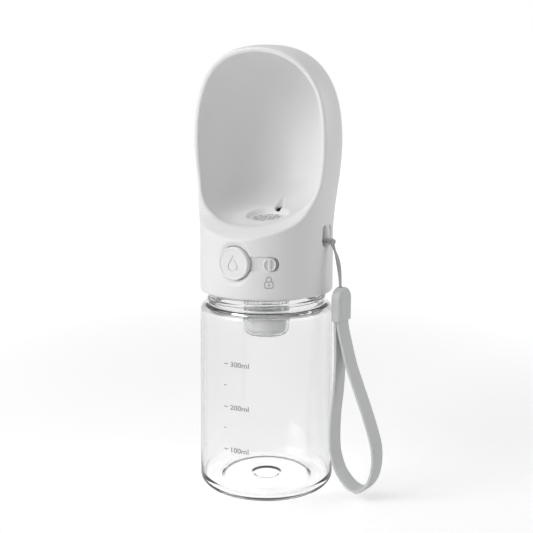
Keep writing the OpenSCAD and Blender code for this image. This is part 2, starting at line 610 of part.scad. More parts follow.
module filter_lid() color([0.8, 0.82, 0.83]) translate([0, 0, pad_z + 12.7]) difference() {
    union() {
        cylinder(r = filter_r, h = 1.2, $fn = round_fn);
        translate([0, 0, 1.1]) ring(2.4, 1.4, 2.4, small_fn);
    }
    for (r = [5, 8.6]) for (i = [0:r * 1.4]) rotate([0, 0, 360 * i / (floor(r * 1.4) + 1)]) translate([r, 0, -over])
        cylinder(r = 1.1, h = 4, $fn = 16);
}

// ---------- Strap ----------
// The cord's two turns round the lug's bar, drawn together by the knot in front of it
module cord_hitch() color([0.55, 0.56, 0.57]) {
    x = (lug_bar_out - lug_bar_in) / 2 + cord_d / 2 + 0.2;
    y = lug_bar_w / 2 + cord_d / 2 + 0.2;
    turn = 1.1;
    side = concat(arc([x - turn, y - turn], turn, 0, 90, 3), arc([turn - x, y - turn], turn, 90, 180, 3),
        arc([turn - x, turn - y], turn, 180, 270, 3), arc([x - turn, turn - y], turn, 270, 360, 3));
    n = len(side);
    path = concat([[x + 0.9, 0, 0.25 * hitch_rise]], [for (k = [0:1]) for (i = [0:n - 1]) [side[i][0], side[i][1],
        hitch_rise * (k + (i + 1) / (n + 1))]], [[x + 0.9, 0, 1.75 * hitch_rise]]);
    translate([(lug_bar_out + lug_bar_in) / 2, 0, hitch_z]) cord(path, cord_d);
    translate([knot_x, 0, hitch_z + hitch_rise]) rotate([90, 0, 0]) turned(concat(
        [[0, -knot_l / 2]], arc([knot_r - 0.7, 0.7 - knot_l / 2], 0.7, -90, 0, 3),
        arc([knot_r - 0.7, knot_l / 2 - 0.7], 0.7, 0, 90, 3), [[0, knot_l / 2]]), 24);
}
module strap_cord() color([0.55, 0.56, 0.57]) at_strap() {
    cord(smooth(strand_a, 3), cord_d, across = [0, 1, 0]);
    cord(smooth(strand_b, 3), cord_d, across = [0, 1, 0]);
}
module strap_clasp() color([0.68, 0.7, 0.71]) at_strap() difference() {
    translate([clasp_x - clasp_t / 2, 0, -clasp_drop]) rotate([90, 0, 90]) linear_extrude(clasp_t) {
        translate([-clasp_w / 2, -clasp_h]) square([clasp_w, clasp_h - clasp_w / 2 + 1]);
        intersection() {
            translate([0, -clasp_w / 2]) circle(r = clasp_w / 2, $fn = round_fn);
            translate([-clasp_w / 2, -clasp_w / 2]) square([clasp_w, clasp_w]);
        }
    }
    translate([clasp_x - band_t - 0.4, -band_w / 2 - 0.1, -clasp_drop - clasp_h - over])
        cube([2 * band_t + 0.8, band_w + 0.2, clasp_h - 5]);
    for (p = strand_ends) translate([p[0], p[1], -clasp_drop - 2.5]) cylinder(r = cord_d / 2 + 0.2, h = 2.5 + over, $fn = small_fn);
}
module strap_band() color([0.7, 0.72, 0.73]) at_strap() {
    path = smooth([for (p = band_route) [p[0], 0, p[1] - clasp_drop - clasp_h]], 2);
    c = 0.4;
    w = band_w / 2;
    t = band_t / 2;
    section = [[-t, -w + c], [-t, w - c], [-t + c, w], [t - c, w], [t, w - c], [t, -w + c], [t - c, -w], [-t + c, -w]];
    skin([for (i = [0:len(path) - 1]) let (d = lead(path, i), u = [d[2], 0, -d[0]])
        [for (p = section) path[i] + u * p[0] + [0, p[1], 0]]]);
}

bottle();
neck_seal();
head_shell();
collar_deck();
valve_tower();
tower_gasket();
drain_grille();
deck_screws();
tower_screws();
valve_seat();
air_valve();
valve_stem();
valve_plug();
stem_clip();
valve_spring();
button_cap();
button_plunger();
plunger_oring();
plunger_clip();
button_spring();
lock_knob();
lock_slider();
filter_basket();
filter_pad();
filter_core();
filter_lid();
cord_hitch();
strap_cord();
strap_clasp();
strap_band();
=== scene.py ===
"""Looks of a dog's travel water bottle: a clear bottle under a moulded drinking scoop.

Lengths are in millimetres, as in the part's source, and turned into metres where a mesh is made.
The camera, the floor and the lamps are placed in metres.
Z is the bottle's axis, the button faces -Y and the strap hangs on the +X side.
"""
import math

import bmesh
import bpy
import numpy as np
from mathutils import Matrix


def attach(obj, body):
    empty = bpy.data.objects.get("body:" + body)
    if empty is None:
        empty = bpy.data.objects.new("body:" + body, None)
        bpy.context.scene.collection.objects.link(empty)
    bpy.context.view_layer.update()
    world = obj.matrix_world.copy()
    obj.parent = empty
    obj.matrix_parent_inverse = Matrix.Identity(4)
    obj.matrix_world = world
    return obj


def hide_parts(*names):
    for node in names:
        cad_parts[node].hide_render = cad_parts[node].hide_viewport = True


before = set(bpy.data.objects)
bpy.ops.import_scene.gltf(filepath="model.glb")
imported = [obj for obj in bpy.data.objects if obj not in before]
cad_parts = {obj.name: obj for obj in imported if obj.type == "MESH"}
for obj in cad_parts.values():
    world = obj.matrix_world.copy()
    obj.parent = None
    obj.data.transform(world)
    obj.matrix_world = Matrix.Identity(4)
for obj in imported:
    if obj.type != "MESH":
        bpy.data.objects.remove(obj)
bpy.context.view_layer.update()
MM = 0.001
FAR = 1e9  # farther than anything in the scene

# ---------- Sizes shared with the part ----------
BOTTLE_R, FOOT_R, WALL = 38.0, 39.0, 2.0
SHOULDER_Z, LIP_Z = 107.5, 120.0
SHOULDER_ROUND, FOOT_ROUND = 4.4, 5.3
NECK_R, NECK_BORE = 32.6, 30.4
PUNT_H, PUNT_WALL, SHOULDER_INSIDE, SHOULDER_WALL = 1.5, 1.8, 2.3, 2.8
PITCH, THREAD_DEPTH, THREAD_Z, THREAD_A, THREAD_TURNS = 4.0, 1.4, 109.0, -200.0, 2.1
SKIRT_Z, SKIRT_WALL, HEAD_TOP = 114.6, 2.0, 251.0
FLARE_Z, WIDE_Z, SCOOP_R, SCOOP_WALL, DOME_POWER = 148.0, 196.0, 42.4, 3.0, 2.5
FLOOR_Z, FLOOR_TILT, FLOOR_T, UNDER_TILT = 157.6, math.radians(12.7), 3.6, math.radians(14.7)
LIP_RIM_Z, RIM_FOOT_Z, RIM_Y, RIM_LEAN, LEAN_Z = 146.5, 180.0, 11.3, 6.6, 222.0
GRILLE_R, RECESS_R, GRILLE_T, DRAIN_R = 10.6, 12.2, 1.2, 9.2
DRAIN_Z, DRAIN_TILT = 155.7, math.radians(4.5)
VENT_LOW, VENT_RUN, VENT_WIDE, VENT_NARROW = (1.1, 13.9), (-3.5, 12.6), 2.1, 1.2
RECESS_X, RECESS_Y = 0.4, 1.2
BUTTON_Z, BUTTON_R, WELL_BORE, WELL_R = 134.5, 9.0, 9.3, 10.5
BUTTON_FACE, CAP_BACK, CAP_INSIDE, WELL_FLOOR = 39.0, 32.5, 36.8, 28.5
ROD_BORE = 3.06
KNOB_A, KNOB_R, KNOB_SWING = math.radians(29.9), 3.5, math.radians(6)
TONGUE_H, TONGUE_A = 7.1, math.radians(9.2)
CHANNEL_H, CHANNEL_END, CHANNEL_FLOOR, CHANNEL_L = 7.7, 5.3, 36.9, 10.5
LUG_Z, LUG_H, LUG_SLOT, BAR_W, BAR_IN, BAR_OUT = 147.6, 11.6, 3.6, 4.0, 36.2, 38.9
SCREW_RING, SCREW_R, SCREW_ANGLES = 25.0, 1.2, (90, 210, 330)
DECK_TOP, PORT_BOSS_Z, PORT_BOSS_R = 123.4, 150.0, 13.0
CORD_D, KNOT_X, KNOT_Z, KNOT_R, KNOT_L = 1.3, 40.9, 144.154, 1.9, 3.6
HITCH_Z, HITCH_RISE = 142.75, 1.404
STRAP_YAW = math.radians(-9.4)
CLASP_X, CLASP_T, CLASP_W, CLASP_H, CLASP_DROP = 6.25, 6.4, 12.8, 19.5, 24.4
BAND_W, BAND_T, BAND_SEAT = 10.4, 1.8, 9.0

# ---------- Camera ----------
CAMERA_AZ, CAMERA_PITCH = math.radians(27.5), math.radians(-9.39)
CAMERA_OUT, CAMERA_UP, LENS, SENSOR = 0.494, 0.209, 58.86, 36.0
CLIP_NEAR, CLIP_FAR = 0.01, 50.0

camera = bpy.data.objects.new("camera", bpy.data.cameras.new("camera"))
bpy.context.scene.collection.objects.link(camera)
camera.data.lens, camera.data.sensor_width = LENS, SENSOR
camera.data.clip_start, camera.data.clip_end = CLIP_NEAR, CLIP_FAR
camera.location = (CAMERA_OUT * math.sin(CAMERA_AZ), -CAMERA_OUT * math.cos(CAMERA_AZ), CAMERA_UP)
camera.rotation_euler = (math.pi / 2 + CAMERA_PITCH, 0.0, CAMERA_AZ)
bpy.context.scene.camera = camera


# ---------- Mesh helpers ----------
def add(name, verts, faces, material, body, replaces=(), smooth=True):
    """A mesh in millimetres that rides on a body."""
    mesh = bpy.data.meshes.new(name)
    places = (np.asarray(verts, float) * MM).tolist()
    mesh.from_pydata(places, [], [list(map(int, face)) for face in faces])
    shape = bmesh.new()
    shape.from_mesh(mesh)
    bmesh.ops.recalc_face_normals(shape, faces=shape.faces)
    shape.to_mesh(mesh)
    shape.free()
    mesh.polygons.foreach_set("use_smooth", [smooth] * len(mesh.polygons))
    mesh.materials.append(material)
    piece = bpy.data.objects.new(name, mesh)
    bpy.context.scene.collection.objects.link(piece)
    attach(piece, body)
    if replaces:
        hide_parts(*replaces)
    return piece


def smooth_max(a, b, k):
    """The larger of two distances, with the edge between them rounded over about k."""
    h = np.maximum(k - np.abs(a - b), 0.0) / k
    return np.maximum(a, b) + h * h * k * 0.25


def smooth_min(a, b, k):
    """The smaller of two distances, with the edge between them rounded over about k."""
    return -smooth_max(-a, -b, k)


def all_of(first, *others):
    """Distance to what all the shapes have in common."""
    for other in others:
        first = np.maximum(first, other)
    return first


def cut(body, tool, edge=0.0):
    """The body without the tool, with the edge between them rounded over about edge."""
    return smooth_max(body, -tool, edge) if edge else np.maximum(body, -tool)


def tilted(y, z, height, tilt):
    """Height over a plane that rises towards the back, and the distance back along it."""
    up, c, s = z - height, math.cos(tilt), math.sin(tilt)
    return up * c - y * s, y * c + up * s


def rounded_box(u, v, w, h, r):
    """Distance to a rectangle of half sizes w and h with corners of radius r."""
    du, dv = np.abs(u) - w + r, np.abs(v) - h + r
    return np.hypot(np.maximum(du, 0), np.maximum(dv, 0)) + np.minimum(np.maximum(du, dv), 0) - r


def outline_distance(u, v, points):
    """Distance from (u, v) to a line through points."""
    best = np.full(np.broadcast(u, v).shape, FAR)
    for (u0, v0), (u1, v1) in zip(points[:-1], points[1:]):
        du, dv = u1 - u0, v1 - v0
        t = np.clip(((u - u0) * du + (v - v0) * dv) / (du * du + dv * dv), 0, 1)
        best = np.minimum(best, np.hypot(u - u0 - t * du, v - v0 - t * dv))
    return best


PULLS, PROBE, LEAST_SLOPE = 3, 0.05, 0.2  # how vertices are pulled onto the surface
# spacing of each moulded piece's grid
SHELL_STEP = 0.7
KNOT_STEP, CLASP_STEP, CAP_STEP, KNOB_STEP, DISC_STEP, BASKET_STEP = 0.2, 0.36, 0.2, 0.17, 0.17, 0.4


def pull_to_surface(points, distance, step):
    """Moves points along the distance's slope until they lie on the surface."""
    probes = np.eye(3) * PROBE
    for _ in range(PULLS):
        value = distance(*points.T)
        slope = np.stack([distance(*(points + probe).T) - distance(*(points - probe).T)
                          for probe in probes], 1) / (2 * PROBE)
        size = np.maximum((slope ** 2).sum(1), LEAST_SLOPE)
        points -= slope * (np.clip(value, -step / 3, step / 3) / size)[:, None]


def moulded(name, distance, lo, hi, step, material, body, replaces=()):
    """A piece from its distance function, which is below 0 inside, on a grid from lo to hi.

    Each cell that the surface crosses gets a vertex, and each grid edge it crosses a face.
    """
    axes = [np.arange(a, b + step, step) for a, b in zip(lo, hi)]
    shape = tuple(len(a) for a in axes)
    x, y, z = np.meshgrid(*axes, indexing="ij", sparse=True)
    field = np.broadcast_to(distance(x, y, z), shape)
    inside = field < 0
    corners = [inside[i:shape[0] - 1 + i, j:shape[1] - 1 + j, k:shape[2] - 1 + k]
               for i in (0, 1) for j in (0, 1) for k in (0, 1)]
    filled = sum(c.astype(np.int8) for c in corners)
    cells = np.argwhere((filled > 0) & (filled < len(corners)))
    number = np.full(tuple(n - 1 for n in shape), -1)
    number[tuple(cells.T)] = np.arange(len(cells))
    total, count = np.zeros((len(cells), 3)), np.zeros(len(cells))
    for axis in range(3):
        others = [a for a in range(3) if a != axis]
        for d in ((0, 0), (0, 1), (1, 0), (1, 1)):
            start = cells.copy()
            start[:, others] += d
            end = start.copy()
            end[:, axis] += 1
            a, b = field[tuple(start.T)], field[tuple(end.T)]
            hit = (a < 0) != (b < 0)
            share = np.where(hit, a / np.where(hit, a - b, 1), 0)
            place = (start - cells).astype(float)
            place[:, axis] = share
            total += place * hit[:, None]
            count += hit
    points = np.array(lo) + step * (cells + total / count[:, None])
    pull_to_surface(points, distance, step)
    faces = []
    for axis in range(3):
        b, c = (axis + 1) % 3, (axis + 2) % 3
        first = [slice(1, n - 1) for n in shape]
        second = list(first)
        first[axis], second[axis] = slice(0, shape[axis] - 1), slice(1, shape[axis])
        edge = np.argwhere(inside[tuple(first)] != inside[tuple(second)])
        edge[:, b] += 1
        edge[:, c] += 1
        loop = []
        for db, dc in ((1, 1), (0, 1), (0, 0), (1, 0)):
            cell = edge.copy()
            cell[:, b] -= db
            cell[:, c] -= dc
            loop.append(number[tuple(cell.T)])
        quad = np.stack(loop, 1)
        flip = ~inside[tuple(edge.T)]
        quad[flip] = quad[flip][:, ::-1]
        faces.append(quad)
    return add(name, points, np.concatenate(faces), material, body, replaces)


def swept(rings):
    """Vertices and faces of a closed skin over rings that all have the same number of points."""
    rings = np.asarray(rings)
    m, n = rings.shape[:2]
    faces = [(i * n + j, i * n + (j + 1) % n, (i + 1) * n + (j + 1) % n, (i + 1) * n + j)
             for i in range(m - 1) for j in range(n)]
    faces += [tuple(range(n - 1, -1, -1)), tuple(range((m - 1) * n, m * n))]
    return rings.reshape(-1, 3), faces


def smooth_path(points, steps):
    """A Catmull-Rom path through points, the curve that the part's own routes follow."""
    p = np.asarray(points, float)
    last = len(p) - 1
    out = []
    for i in range(last):
        a, b, c, d = p[max(i - 1, 0)], p[i], p[i + 1], p[min(i + 2, last)]
        for t in np.arange(steps) / steps:
            out.append(0.5 * (2 * b + (c - a) * t + (2 * a - 5 * b + 4 * c - d) * t ** 2
                              + (3 * b - a - 3 * c + d) * t ** 3))
    return np.array(out + [p[last]])


def run_along(path):
    """How far along the path each of its points lies."""
    return np.concatenate([[0], np.cumsum(np.linalg.norm(np.diff(path, axis=0), axis=1))])


def directions(path):
    """Unit vectors along the path, one at each of its points."""
    ends = np.vstack([path[1:], path[-1:]]) - np.vstack([path[:1], path[:-1]])
    return ends / np.linalg.norm(ends, axis=1)[:, None]


def at_strap(points):
    """From the strap's own frame, with its origin in the knot, to the object's."""
    p = np.asarray(points, float)
    c, s = math.cos(STRAP_YAW), math.sin(STRAP_YAW)
    return np.stack([KNOT_X + p[..., 0] * c - p[..., 1] * s, p[..., 0] * s + p[..., 1] * c,
                     KNOT_Z + p[..., 2]], -1)


# ---------- Materials ----------
SLOW_SCALE, RELIEF = 60.0, 0.0002  # scale of the slow changes, and the grain's depth in metres
ROUGHNESS_LOW, ROUGHNESS_HIGH = 0.9, 1.1


def finish(name, colour, roughness, grain=4000.0, bump=0.05, variation=0.02, **sockets):
    """A moulded surface: fine grain in the bump and roughness, and slow changes in colour."""
    material = bpy.data.materials.new(name)
    material.use_nodes = True
    nodes, links = material.node_tree.nodes, material.node_tree.links
    shader = nodes["Principled BSDF"]
    place = nodes.new("ShaderNodeTexCoord").outputs["Object"]
    slow, fine = nodes.new("ShaderNodeTexNoise"), nodes.new("ShaderNodeTexNoise")
    slow.inputs["Scale"].default_value = SLOW_SCALE
    fine.inputs["Scale"].default_value = grain
    for noise in (slow, fine):
        links.new(place, noise.inputs["Vector"])
    tint = nodes.new("ShaderNodeMix")
    tint.data_type = "RGBA"
    tint.inputs["A"].default_value = (*[c * (1 - variation) for c in colour], 1)
    tint.inputs["B"].default_value = (*[min(1, c * (1 + variation)) for c in colour], 1)
    links.new(slow.outputs["Fac"], tint.inputs["Factor"])
    links.new(tint.outputs["Result"], shader.inputs["Base Color"])
    spread = nodes.new("ShaderNodeMapRange")
    spread.inputs["To Min"].default_value = roughness * ROUGHNESS_LOW
    spread.inputs["To Max"].default_value = roughness * ROUGHNESS_HIGH
    links.new(fine.outputs["Fac"], spread.inputs["Value"])
    links.new(spread.outputs["Result"], shader.inputs["Roughness"])
    relief = nodes.new("ShaderNodeBump")
    relief.inputs["Strength"].default_value = bump
    relief.inputs["Distance"].default_value = RELIEF
    links.new(fine.outputs["Fac"], relief.inputs["Height"])
    links.new(relief.outputs["Normal"], shader.inputs["Normal"])
    for key, value in sockets.items():
        shader.inputs[key.replace("_", " ")].default_value = value
    return material


WHITE = finish("white_satin_plastic", (0.88, 0.88, 0.88), 0.42, bump=0.03, variation=0.01)
INNER = finish("inner_plastic", (0.78, 0.79, 0.80), 0.38)
GRILLE = finish("grille_plastic", (0.82, 0.82, 0.82), 0.4)
CLEAR = finish("clear_bottle", (1.0, 1.0, 1.0), 0.02, grain=300.0, bump=0.01, variation=0.0,
               Transmission_Weight=1.0, IOR=1.47)
SMOKY = finish("smoky_translucent_plastic", (0.96, 0.97, 0.97), 0.2, grain=900.0, variation=0.03,
               Transmission_Weight=0.9, IOR=1.15)
SILICONE = finish("silicone", (0.62, 0.63, 0.64), 0.55, grain=2500.0)
STEEL = finish("stainless_steel", (0.62, 0.62, 0.63), 0.25, grain=2000.0, Metallic=1.0)
FELT = finish("filter_felt", (0.86, 0.86, 0.84), 0.95, grain=2500.0, bump=0.6)
MEDIUM = finish("filter_granules", (0.93, 0.93, 0.91), 0.7, grain=900.0, bump=0.9, variation=0.08)
CORD = finish("braided_cord", (0.46, 0.46, 0.45), 0.6, grain=3500.0, bump=0.3, variation=0.08)
STRAP = finish("grey_strap_silicone", (0.64, 0.65, 0.65), 0.5, grain=5000.0, bump=0.06)
PRINT = finish("grey_print", (0.27, 0.27, 0.28), 0.5)
# painted shade: grey lines that stand in for the shadow in the moulded padlock's grooves, not a
# print
PADLOCK_SHADE = finish("padlock_painted_groove_shade", (0.42, 0.42, 0.42), 0.6)

# the nodes of the part that show as they are; the pieces made below stand for the others
NODE_FINISHES = {
    "neck_seal": SILICONE, "collar_deck": INNER, "valve_tower": INNER, "tower_gasket": SILICONE,
    "deck_screws": STEEL, "tower_screws": STEEL, "valve_seat": SILICONE, "air_valve": SILICONE,
    "valve_stem": INNER, "valve_plug": SILICONE, "stem_clip": STEEL, "valve_spring": STEEL,
    "button_plunger": INNER, "plunger_oring": SILICONE, "plunger_clip": STEEL,
    "button_spring": STEEL, "lock_slider": INNER, "filter_pad": FELT, "filter_core": MEDIUM,
    "filter_lid": SMOKY,
}
for node, material in NODE_FINISHES.items():
    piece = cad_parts[node]
    if not piece.material_slots:
        piece.data.materials.append(material)
    for place in piece.material_slots:
        place.material = material

# ---------- Cord ----------
# The two strands from the knot to the clasp, in the strap's frame as (out, across, up)
STRAND_A = [(0.5, -0.8, -2.1), (1.6, -0.9, -3.6), (3.6, -0.9, -7), (5.1, -0.9, -11),
            (5.9, -0.9, -16), (6.1, -0.9, 1 - CLASP_DROP), (6.1, -0.9, -CLASP_DROP - 2)]
STRAND_B = [(0.3, 0.8, -2.1), (1, 0.8, -4.4), (2.2, 0.8, -9), (3.4, 0.8, -14.5), (4.3, 0.9, -19.5),
            (4.7, 0.9, 0.5 - CLASP_DROP), (4.7, 0.9, -CLASP_DROP - 2)]
IN_KNOT, ROUTE_STEPS = (0.1, 0.0, -1.3), 6
BRAID_SIDES, BRAID_STEP, YARNS, YARN_TURN = 24, 0.22, 3, 2.6
YARN_LOW, YARN_RISE = 0.97, 0.06  # share of the cord's radius between the yarns, and their height
HITCH_GAP, HITCH_CORNER, HITCH_END = 0.2, 1.1, 0.9
CORNER_STEPS = 8


def braid(name, path, across, body, replaces=()):
    """A round braided cord, two sets of yarns crossing on a tube, and the line it follows."""
    run = run_along(path)
    fine = np.linspace(0, run[-1], int(run[-1] / BRAID_STEP))
    path = np.stack([np.interp(fine, run, path[:, i]) for i in range(3)], 1)
    along = directions(path)
    u = np.cross(along, across)
    u /= np.linalg.norm(u, axis=1)[:, None]
    v = np.cross(u, along)
    angle = np.arange(BRAID_SIDES) * 2 * math.pi / BRAID_SIDES
    around, turn = YARNS * angle[None], YARN_TURN * fine[:, None]
    weave = np.sin(around + turn) * np.sin(around - turn)
    radius = CORD_D / 2 * (YARN_LOW + YARN_RISE * np.abs(weave))
    rings = path[:, None] + radius[..., None] * (u[:, None] * np.cos(angle)[None, :, None]
                                                 + v[:, None] * np.sin(angle)[None, :, None])
    verts, faces = swept(rings)
    return add(name, verts, faces, CORD, body, replaces), path


cord_route = at_strap(smooth_path(STRAND_A[::-1] + [IN_KNOT] + STRAND_B, ROUTE_STEPS))
cord_across = (math.sin(-STRAP_YAW), math.cos(STRAP_YAW), 0.02)
strap_cord, cord_line = braid("strap_cord_loop", cord_route, cord_across, "strap", ("strap_cord",))


def corner(cx, cy, r, a0):
    """A quarter turn from the angle a0."""
    angles = [a0 + i * math.pi / (2 * CORNER_STEPS) for i in range(CORNER_STEPS + 1)]
    return [(cx + r * math.cos(a), cy + r * math.sin(a)) for a in angles]


def hitch_path():
    """Two rising turns round the lug's bar, from the knot and back to it."""
    x = (BAR_OUT - BAR_IN) / 2 + CORD_D / 2 + HITCH_GAP
    y = BAR_W / 2 + CORD_D / 2 + HITCH_GAP
    turn = HITCH_CORNER
    side = (corner(x - turn, y - turn, turn, 0) + corner(turn - x, y - turn, turn, math.pi / 2)
            + corner(turn - x, turn - y, turn, math.pi)
            + corner(x - turn, turn - y, turn, 1.5 * math.pi))
    n = len(side)
    path = [(x + HITCH_END, 0, 0.25 * HITCH_RISE)]
    path += [(*side[i], HITCH_RISE * (k + (i + 1) / (n + 1))) for k in (0, 1) for i in range(n)]
    path += [(x + HITCH_END, 0, 1.75 * HITCH_RISE)]
    return np.array(path) + ((BAR_OUT + BAR_IN) / 2, 0, HITCH_Z)


braid("cord_hitch_turns", hitch_path(), (0, 0, 1), "head", ("cord_hitch",))

KNOT_RIDGE, KNOT_TWIST, KNOT_EDGE, KNOT_SUNK, KNOT_TRIM, KNOT_BOX = 0.22, 2.2, 1.6, 0.25, 0.1, 2.6


def knot_distance(x, y, z):
    """The knot, with the cord's crossing turns on it."""
    a = np.arctan2(z - KNOT_Z, x - KNOT_X)
    r = np.hypot(x - KNOT_X, z - KNOT_Z)
    bulge = KNOT_RIDGE * np.cos(2 * a + y * KNOT_TWIST) ** 2
    ends = np.abs(y) - KNOT_L / 2 + KNOT_TRIM
    return smooth_max(r - KNOT_R + KNOT_SUNK - bulge, ends, KNOT_EDGE)


moulded("cord_knot", knot_distance, (KNOT_X - KNOT_BOX, -KNOT_BOX, KNOT_Z - KNOT_BOX),
        (KNOT_X + KNOT_BOX, KNOT_BOX, KNOT_Z + KNOT_BOX), KNOT_STEP, CORD, "head")

# ---------- Strap band and clasp ----------
# The band's middle line from the clasp down, round its end and up again, as (out, up)
BAND_ROUTE = [(5.3, BAND_SEAT), (5.3, 3), (5.5, -8), (5.8, -24), (5, -40), (3.7, -52), (3.1, -63),
              (3.4, -74), (4.8, -80), (7.1, -85.7), (10.6, -90.2), (14.3, -93.3), (17.8, -94.6),
              (21.4, -94.6), (25.2, -91.7), (28.6, -86.2), (30.4, -79), (30.7, -73), (30, -67),
              (27.8, -59.7), (22.8, -46.7), (17.4, -34), (13, -23), (10.1, -13), (7.6, -3.5),
              (7.2, 1), (7.2, BAND_SEAT)]
BAND_EDGE = 0.55
CLASP_SIDE_EDGE, CLASP_LOW_EDGE, SLOT_EDGE, HOLE_EDGE = 2.2, 1.6, 0.5, 0.3
SLOT_DEPTH, SLOT_PLAY_T, SLOT_PLAY_W = 13.5, 0.4, 0.1
CORD_HOLE_DEPTH, CORD_HOLE_GAP = 2.5, 0.2


def band():
    """The looped band, with rounded edges."""
    path = smooth_path([(x, 0, z - CLASP_DROP - CLASP_H) for x, z in BAND_ROUTE], ROUTE_STEPS)
    along = directions(path)
    out = np.stack([along[:, 2], np.zeros(len(path)), -along[:, 0]], 1)
    half_t, half_w, edge = BAND_T / 2, BAND_W / 2, BAND_EDGE
    rise, fall = range(0, 91, 18), range(90, -1, -18)
    section = [(sx * (half_t - edge + edge * math.cos(a)),
                sy * (half_w - edge + edge * math.sin(a)))
               for sx, sy, angles in ((1, 1, rise), (-1, 1, fall), (-1, -1, rise), (1, -1, fall))
               for a in map(math.radians, angles)]
    rings = [[p + o * s[0] + (0, s[1], 0) for s in section] for p, o in zip(path, out)]
    verts, faces = swept(at_strap(rings))
    add("strap_band_loop", verts, faces, STRAP, "strap", ("strap_band",))


def clasp_distance(x, y, z):
    """In the strap's frame: a block with an arched top, a slot for the band and two cord holes."""
    top, low, r = -CLASP_DROP, -CLASP_DROP - CLASP_H, CLASP_W / 2
    beside = np.maximum(np.abs(y) - r, low - z)
    arch = np.where(z > top - r, np.hypot(y, z - top + r) - r, beside)
    body = smooth_max(arch, np.abs(x - CLASP_X) - CLASP_T / 2, CLASP_SIDE_EDGE)
    body = smooth_max(body, low - z, CLASP_LOW_EDGE)
    slot = all_of(np.abs(x - CLASP_X) - BAND_T - SLOT_PLAY_T,
                  np.abs(y) - BAND_W / 2 - SLOT_PLAY_W, z - low - SLOT_DEPTH)
    body = cut(body, slot, SLOT_EDGE)
    for hole_x, hole_y in (STRAND_A[-1][:2], STRAND_B[-1][:2]):
        bore = np.hypot(x - hole_x, y - hole_y) - CORD_D / 2 - CORD_HOLE_GAP
        body = cut(body, np.maximum(bore, top - CORD_HOLE_DEPTH - z), HOLE_EDGE)
    return body


band()
clasp = moulded("strap_clasp_body", clasp_distance, (2.2, -7.2, -45), (10.4, 7.2, -23.5),
                CLASP_STEP, STRAP, "strap", ("strap_clasp",))
clasp_mesh = clasp.data
places = np.array([v.co[:] for v in clasp_mesh.vertices]) / MM
clasp_mesh.vertices.foreach_set("co", (at_strap(places) * MM).ravel())
clasp_mesh.update()

# ---------- Head shell ----------
# The lip's outline and the shape of the rim above it, seen from the side
LIP_LINE = [(-38.2, 147.1), (-36, 148.7), (-34, 150.1), (-31.5, 151.3), (-29.2, 152.6),
            (-26.5, 154.2), (-23.5, 156.2)]
RIM_START_Z, RIM_STEPS, RIM_BEND, RIM_ROUND = 158, 24, 1.7, 0.7
LEAN_STEPS, LEAN_BEND = 12, 1.5
BELOW_LIP, ABOVE_TOP = (-70.0, LIP_RIM_Z - 0.3), (-19.5, HEAD_TOP + 4)

# How far the edges and blends of the shell are rounded
SKIRT_EDGE, INSIDE_EDGE, RIM_EDGE, BOWL_EDGE, FLOOR_BLEND = 1.8, 0.4, 0.9, 2.0, 16.0
RECESS_EDGE, VENT_EDGE, DISH_EDGE, CHANNEL_EDGE = 0.8, 0.5, 0.8, 0.5
LUG_EDGE, BAR_EDGE, BAR_END_EDGE, BAR_BLEND, BOSS_BLEND = 0.9, 1.4, 1.0, 0.8, 0.5

# The scoop's wall grows thicker towards the floor, from this height down
LOW_WALL_Z, LOW_WALL_H, LOW_WALL = 172, 14, 2.5

# Inner parts: the well's base, the posts, the lug's pocket, and how far all stay inside the wall
WELL_BASE, POST_WALL, POCKET_WALL, POCKET_ROUND, POCKET_IN, BOSS_SINK = 2, 2, 1.6, 4.6, 31.8, 0.4

# Drain: play round the disc, how far up the recess cuts, and the hole under it
RECESS_PLAY, SEAT_PLAY, RECESS_UP, SEAT_UP, DRAIN_DOWN, DRAIN_LOW = 0.2, 0.1, 4, 1, 1.5, 2
VENT_FLOOR_Z, VENT_FLOOR_RISE, VENT_UP = 155.5, 8.4, 9

# The button's dish flares from here outwards; the rod's bore starts at ROD_FROM
DISH_FROM, DISH_FLARE, DISH_SCALE, DISH_LOW, ROD_FROM = 36.2, 1.45, 0.6, 35.9, 20

# The lock's channel is deeper at its round end; its slot's half height, half angle and depth
CHANNEL_DEEP, DEEP_FROM, DEEP_RUN, FRONT_Y = 0.75, 3.0, 1.5, -20
SLOT_H, SLOT_A, SLOT_IN, SLOT_SCALE = 1.9, 0.102, 34, 36

# Strap lug: the hole's corners and depth, the bar's bow and its ends
LUG_REACH = BAR_W / 2 + LUG_SLOT
LUG_ROUND, LUG_IN, BAR_BOW, BAR_END = 3, 33.4, 0.022, 1.2


def wall_distance(r, z, inset):
    """Distance to the scoop's surface of revolution, moved in by inset."""
    t = np.clip((z - FLARE_Z) / (WIDE_Z - FLARE_Z), 0, 1)
    radius = BOTTLE_R + (SCOOP_R - BOTTLE_R) * (3 * t ** 2 - 2 * t ** 3) - inset
    lean = (SCOOP_R - BOTTLE_R) * 6 * t * (1 - t) / (WIDE_Z - FLARE_Z)
    low = (r - radius) / np.sqrt(1 + lean ** 2)
    wall = SCOOP_WALL * (inset > 0)
    a, h, p = SCOOP_R - wall, HEAD_TOP - WIDE_Z - wall, DOME_POWER
    u = np.maximum(z - WIDE_Z, 0) / h
    q = ((r / a) ** p + u ** p) ** (1 / p) + 1e-9
    steep = np.sqrt(((r / a / q) ** (p - 1) / a) ** 2 + ((u / q) ** (p - 1) / h) ** 2)
    return np.where(z > WIDE_Z, (q - 1) / steep, low)


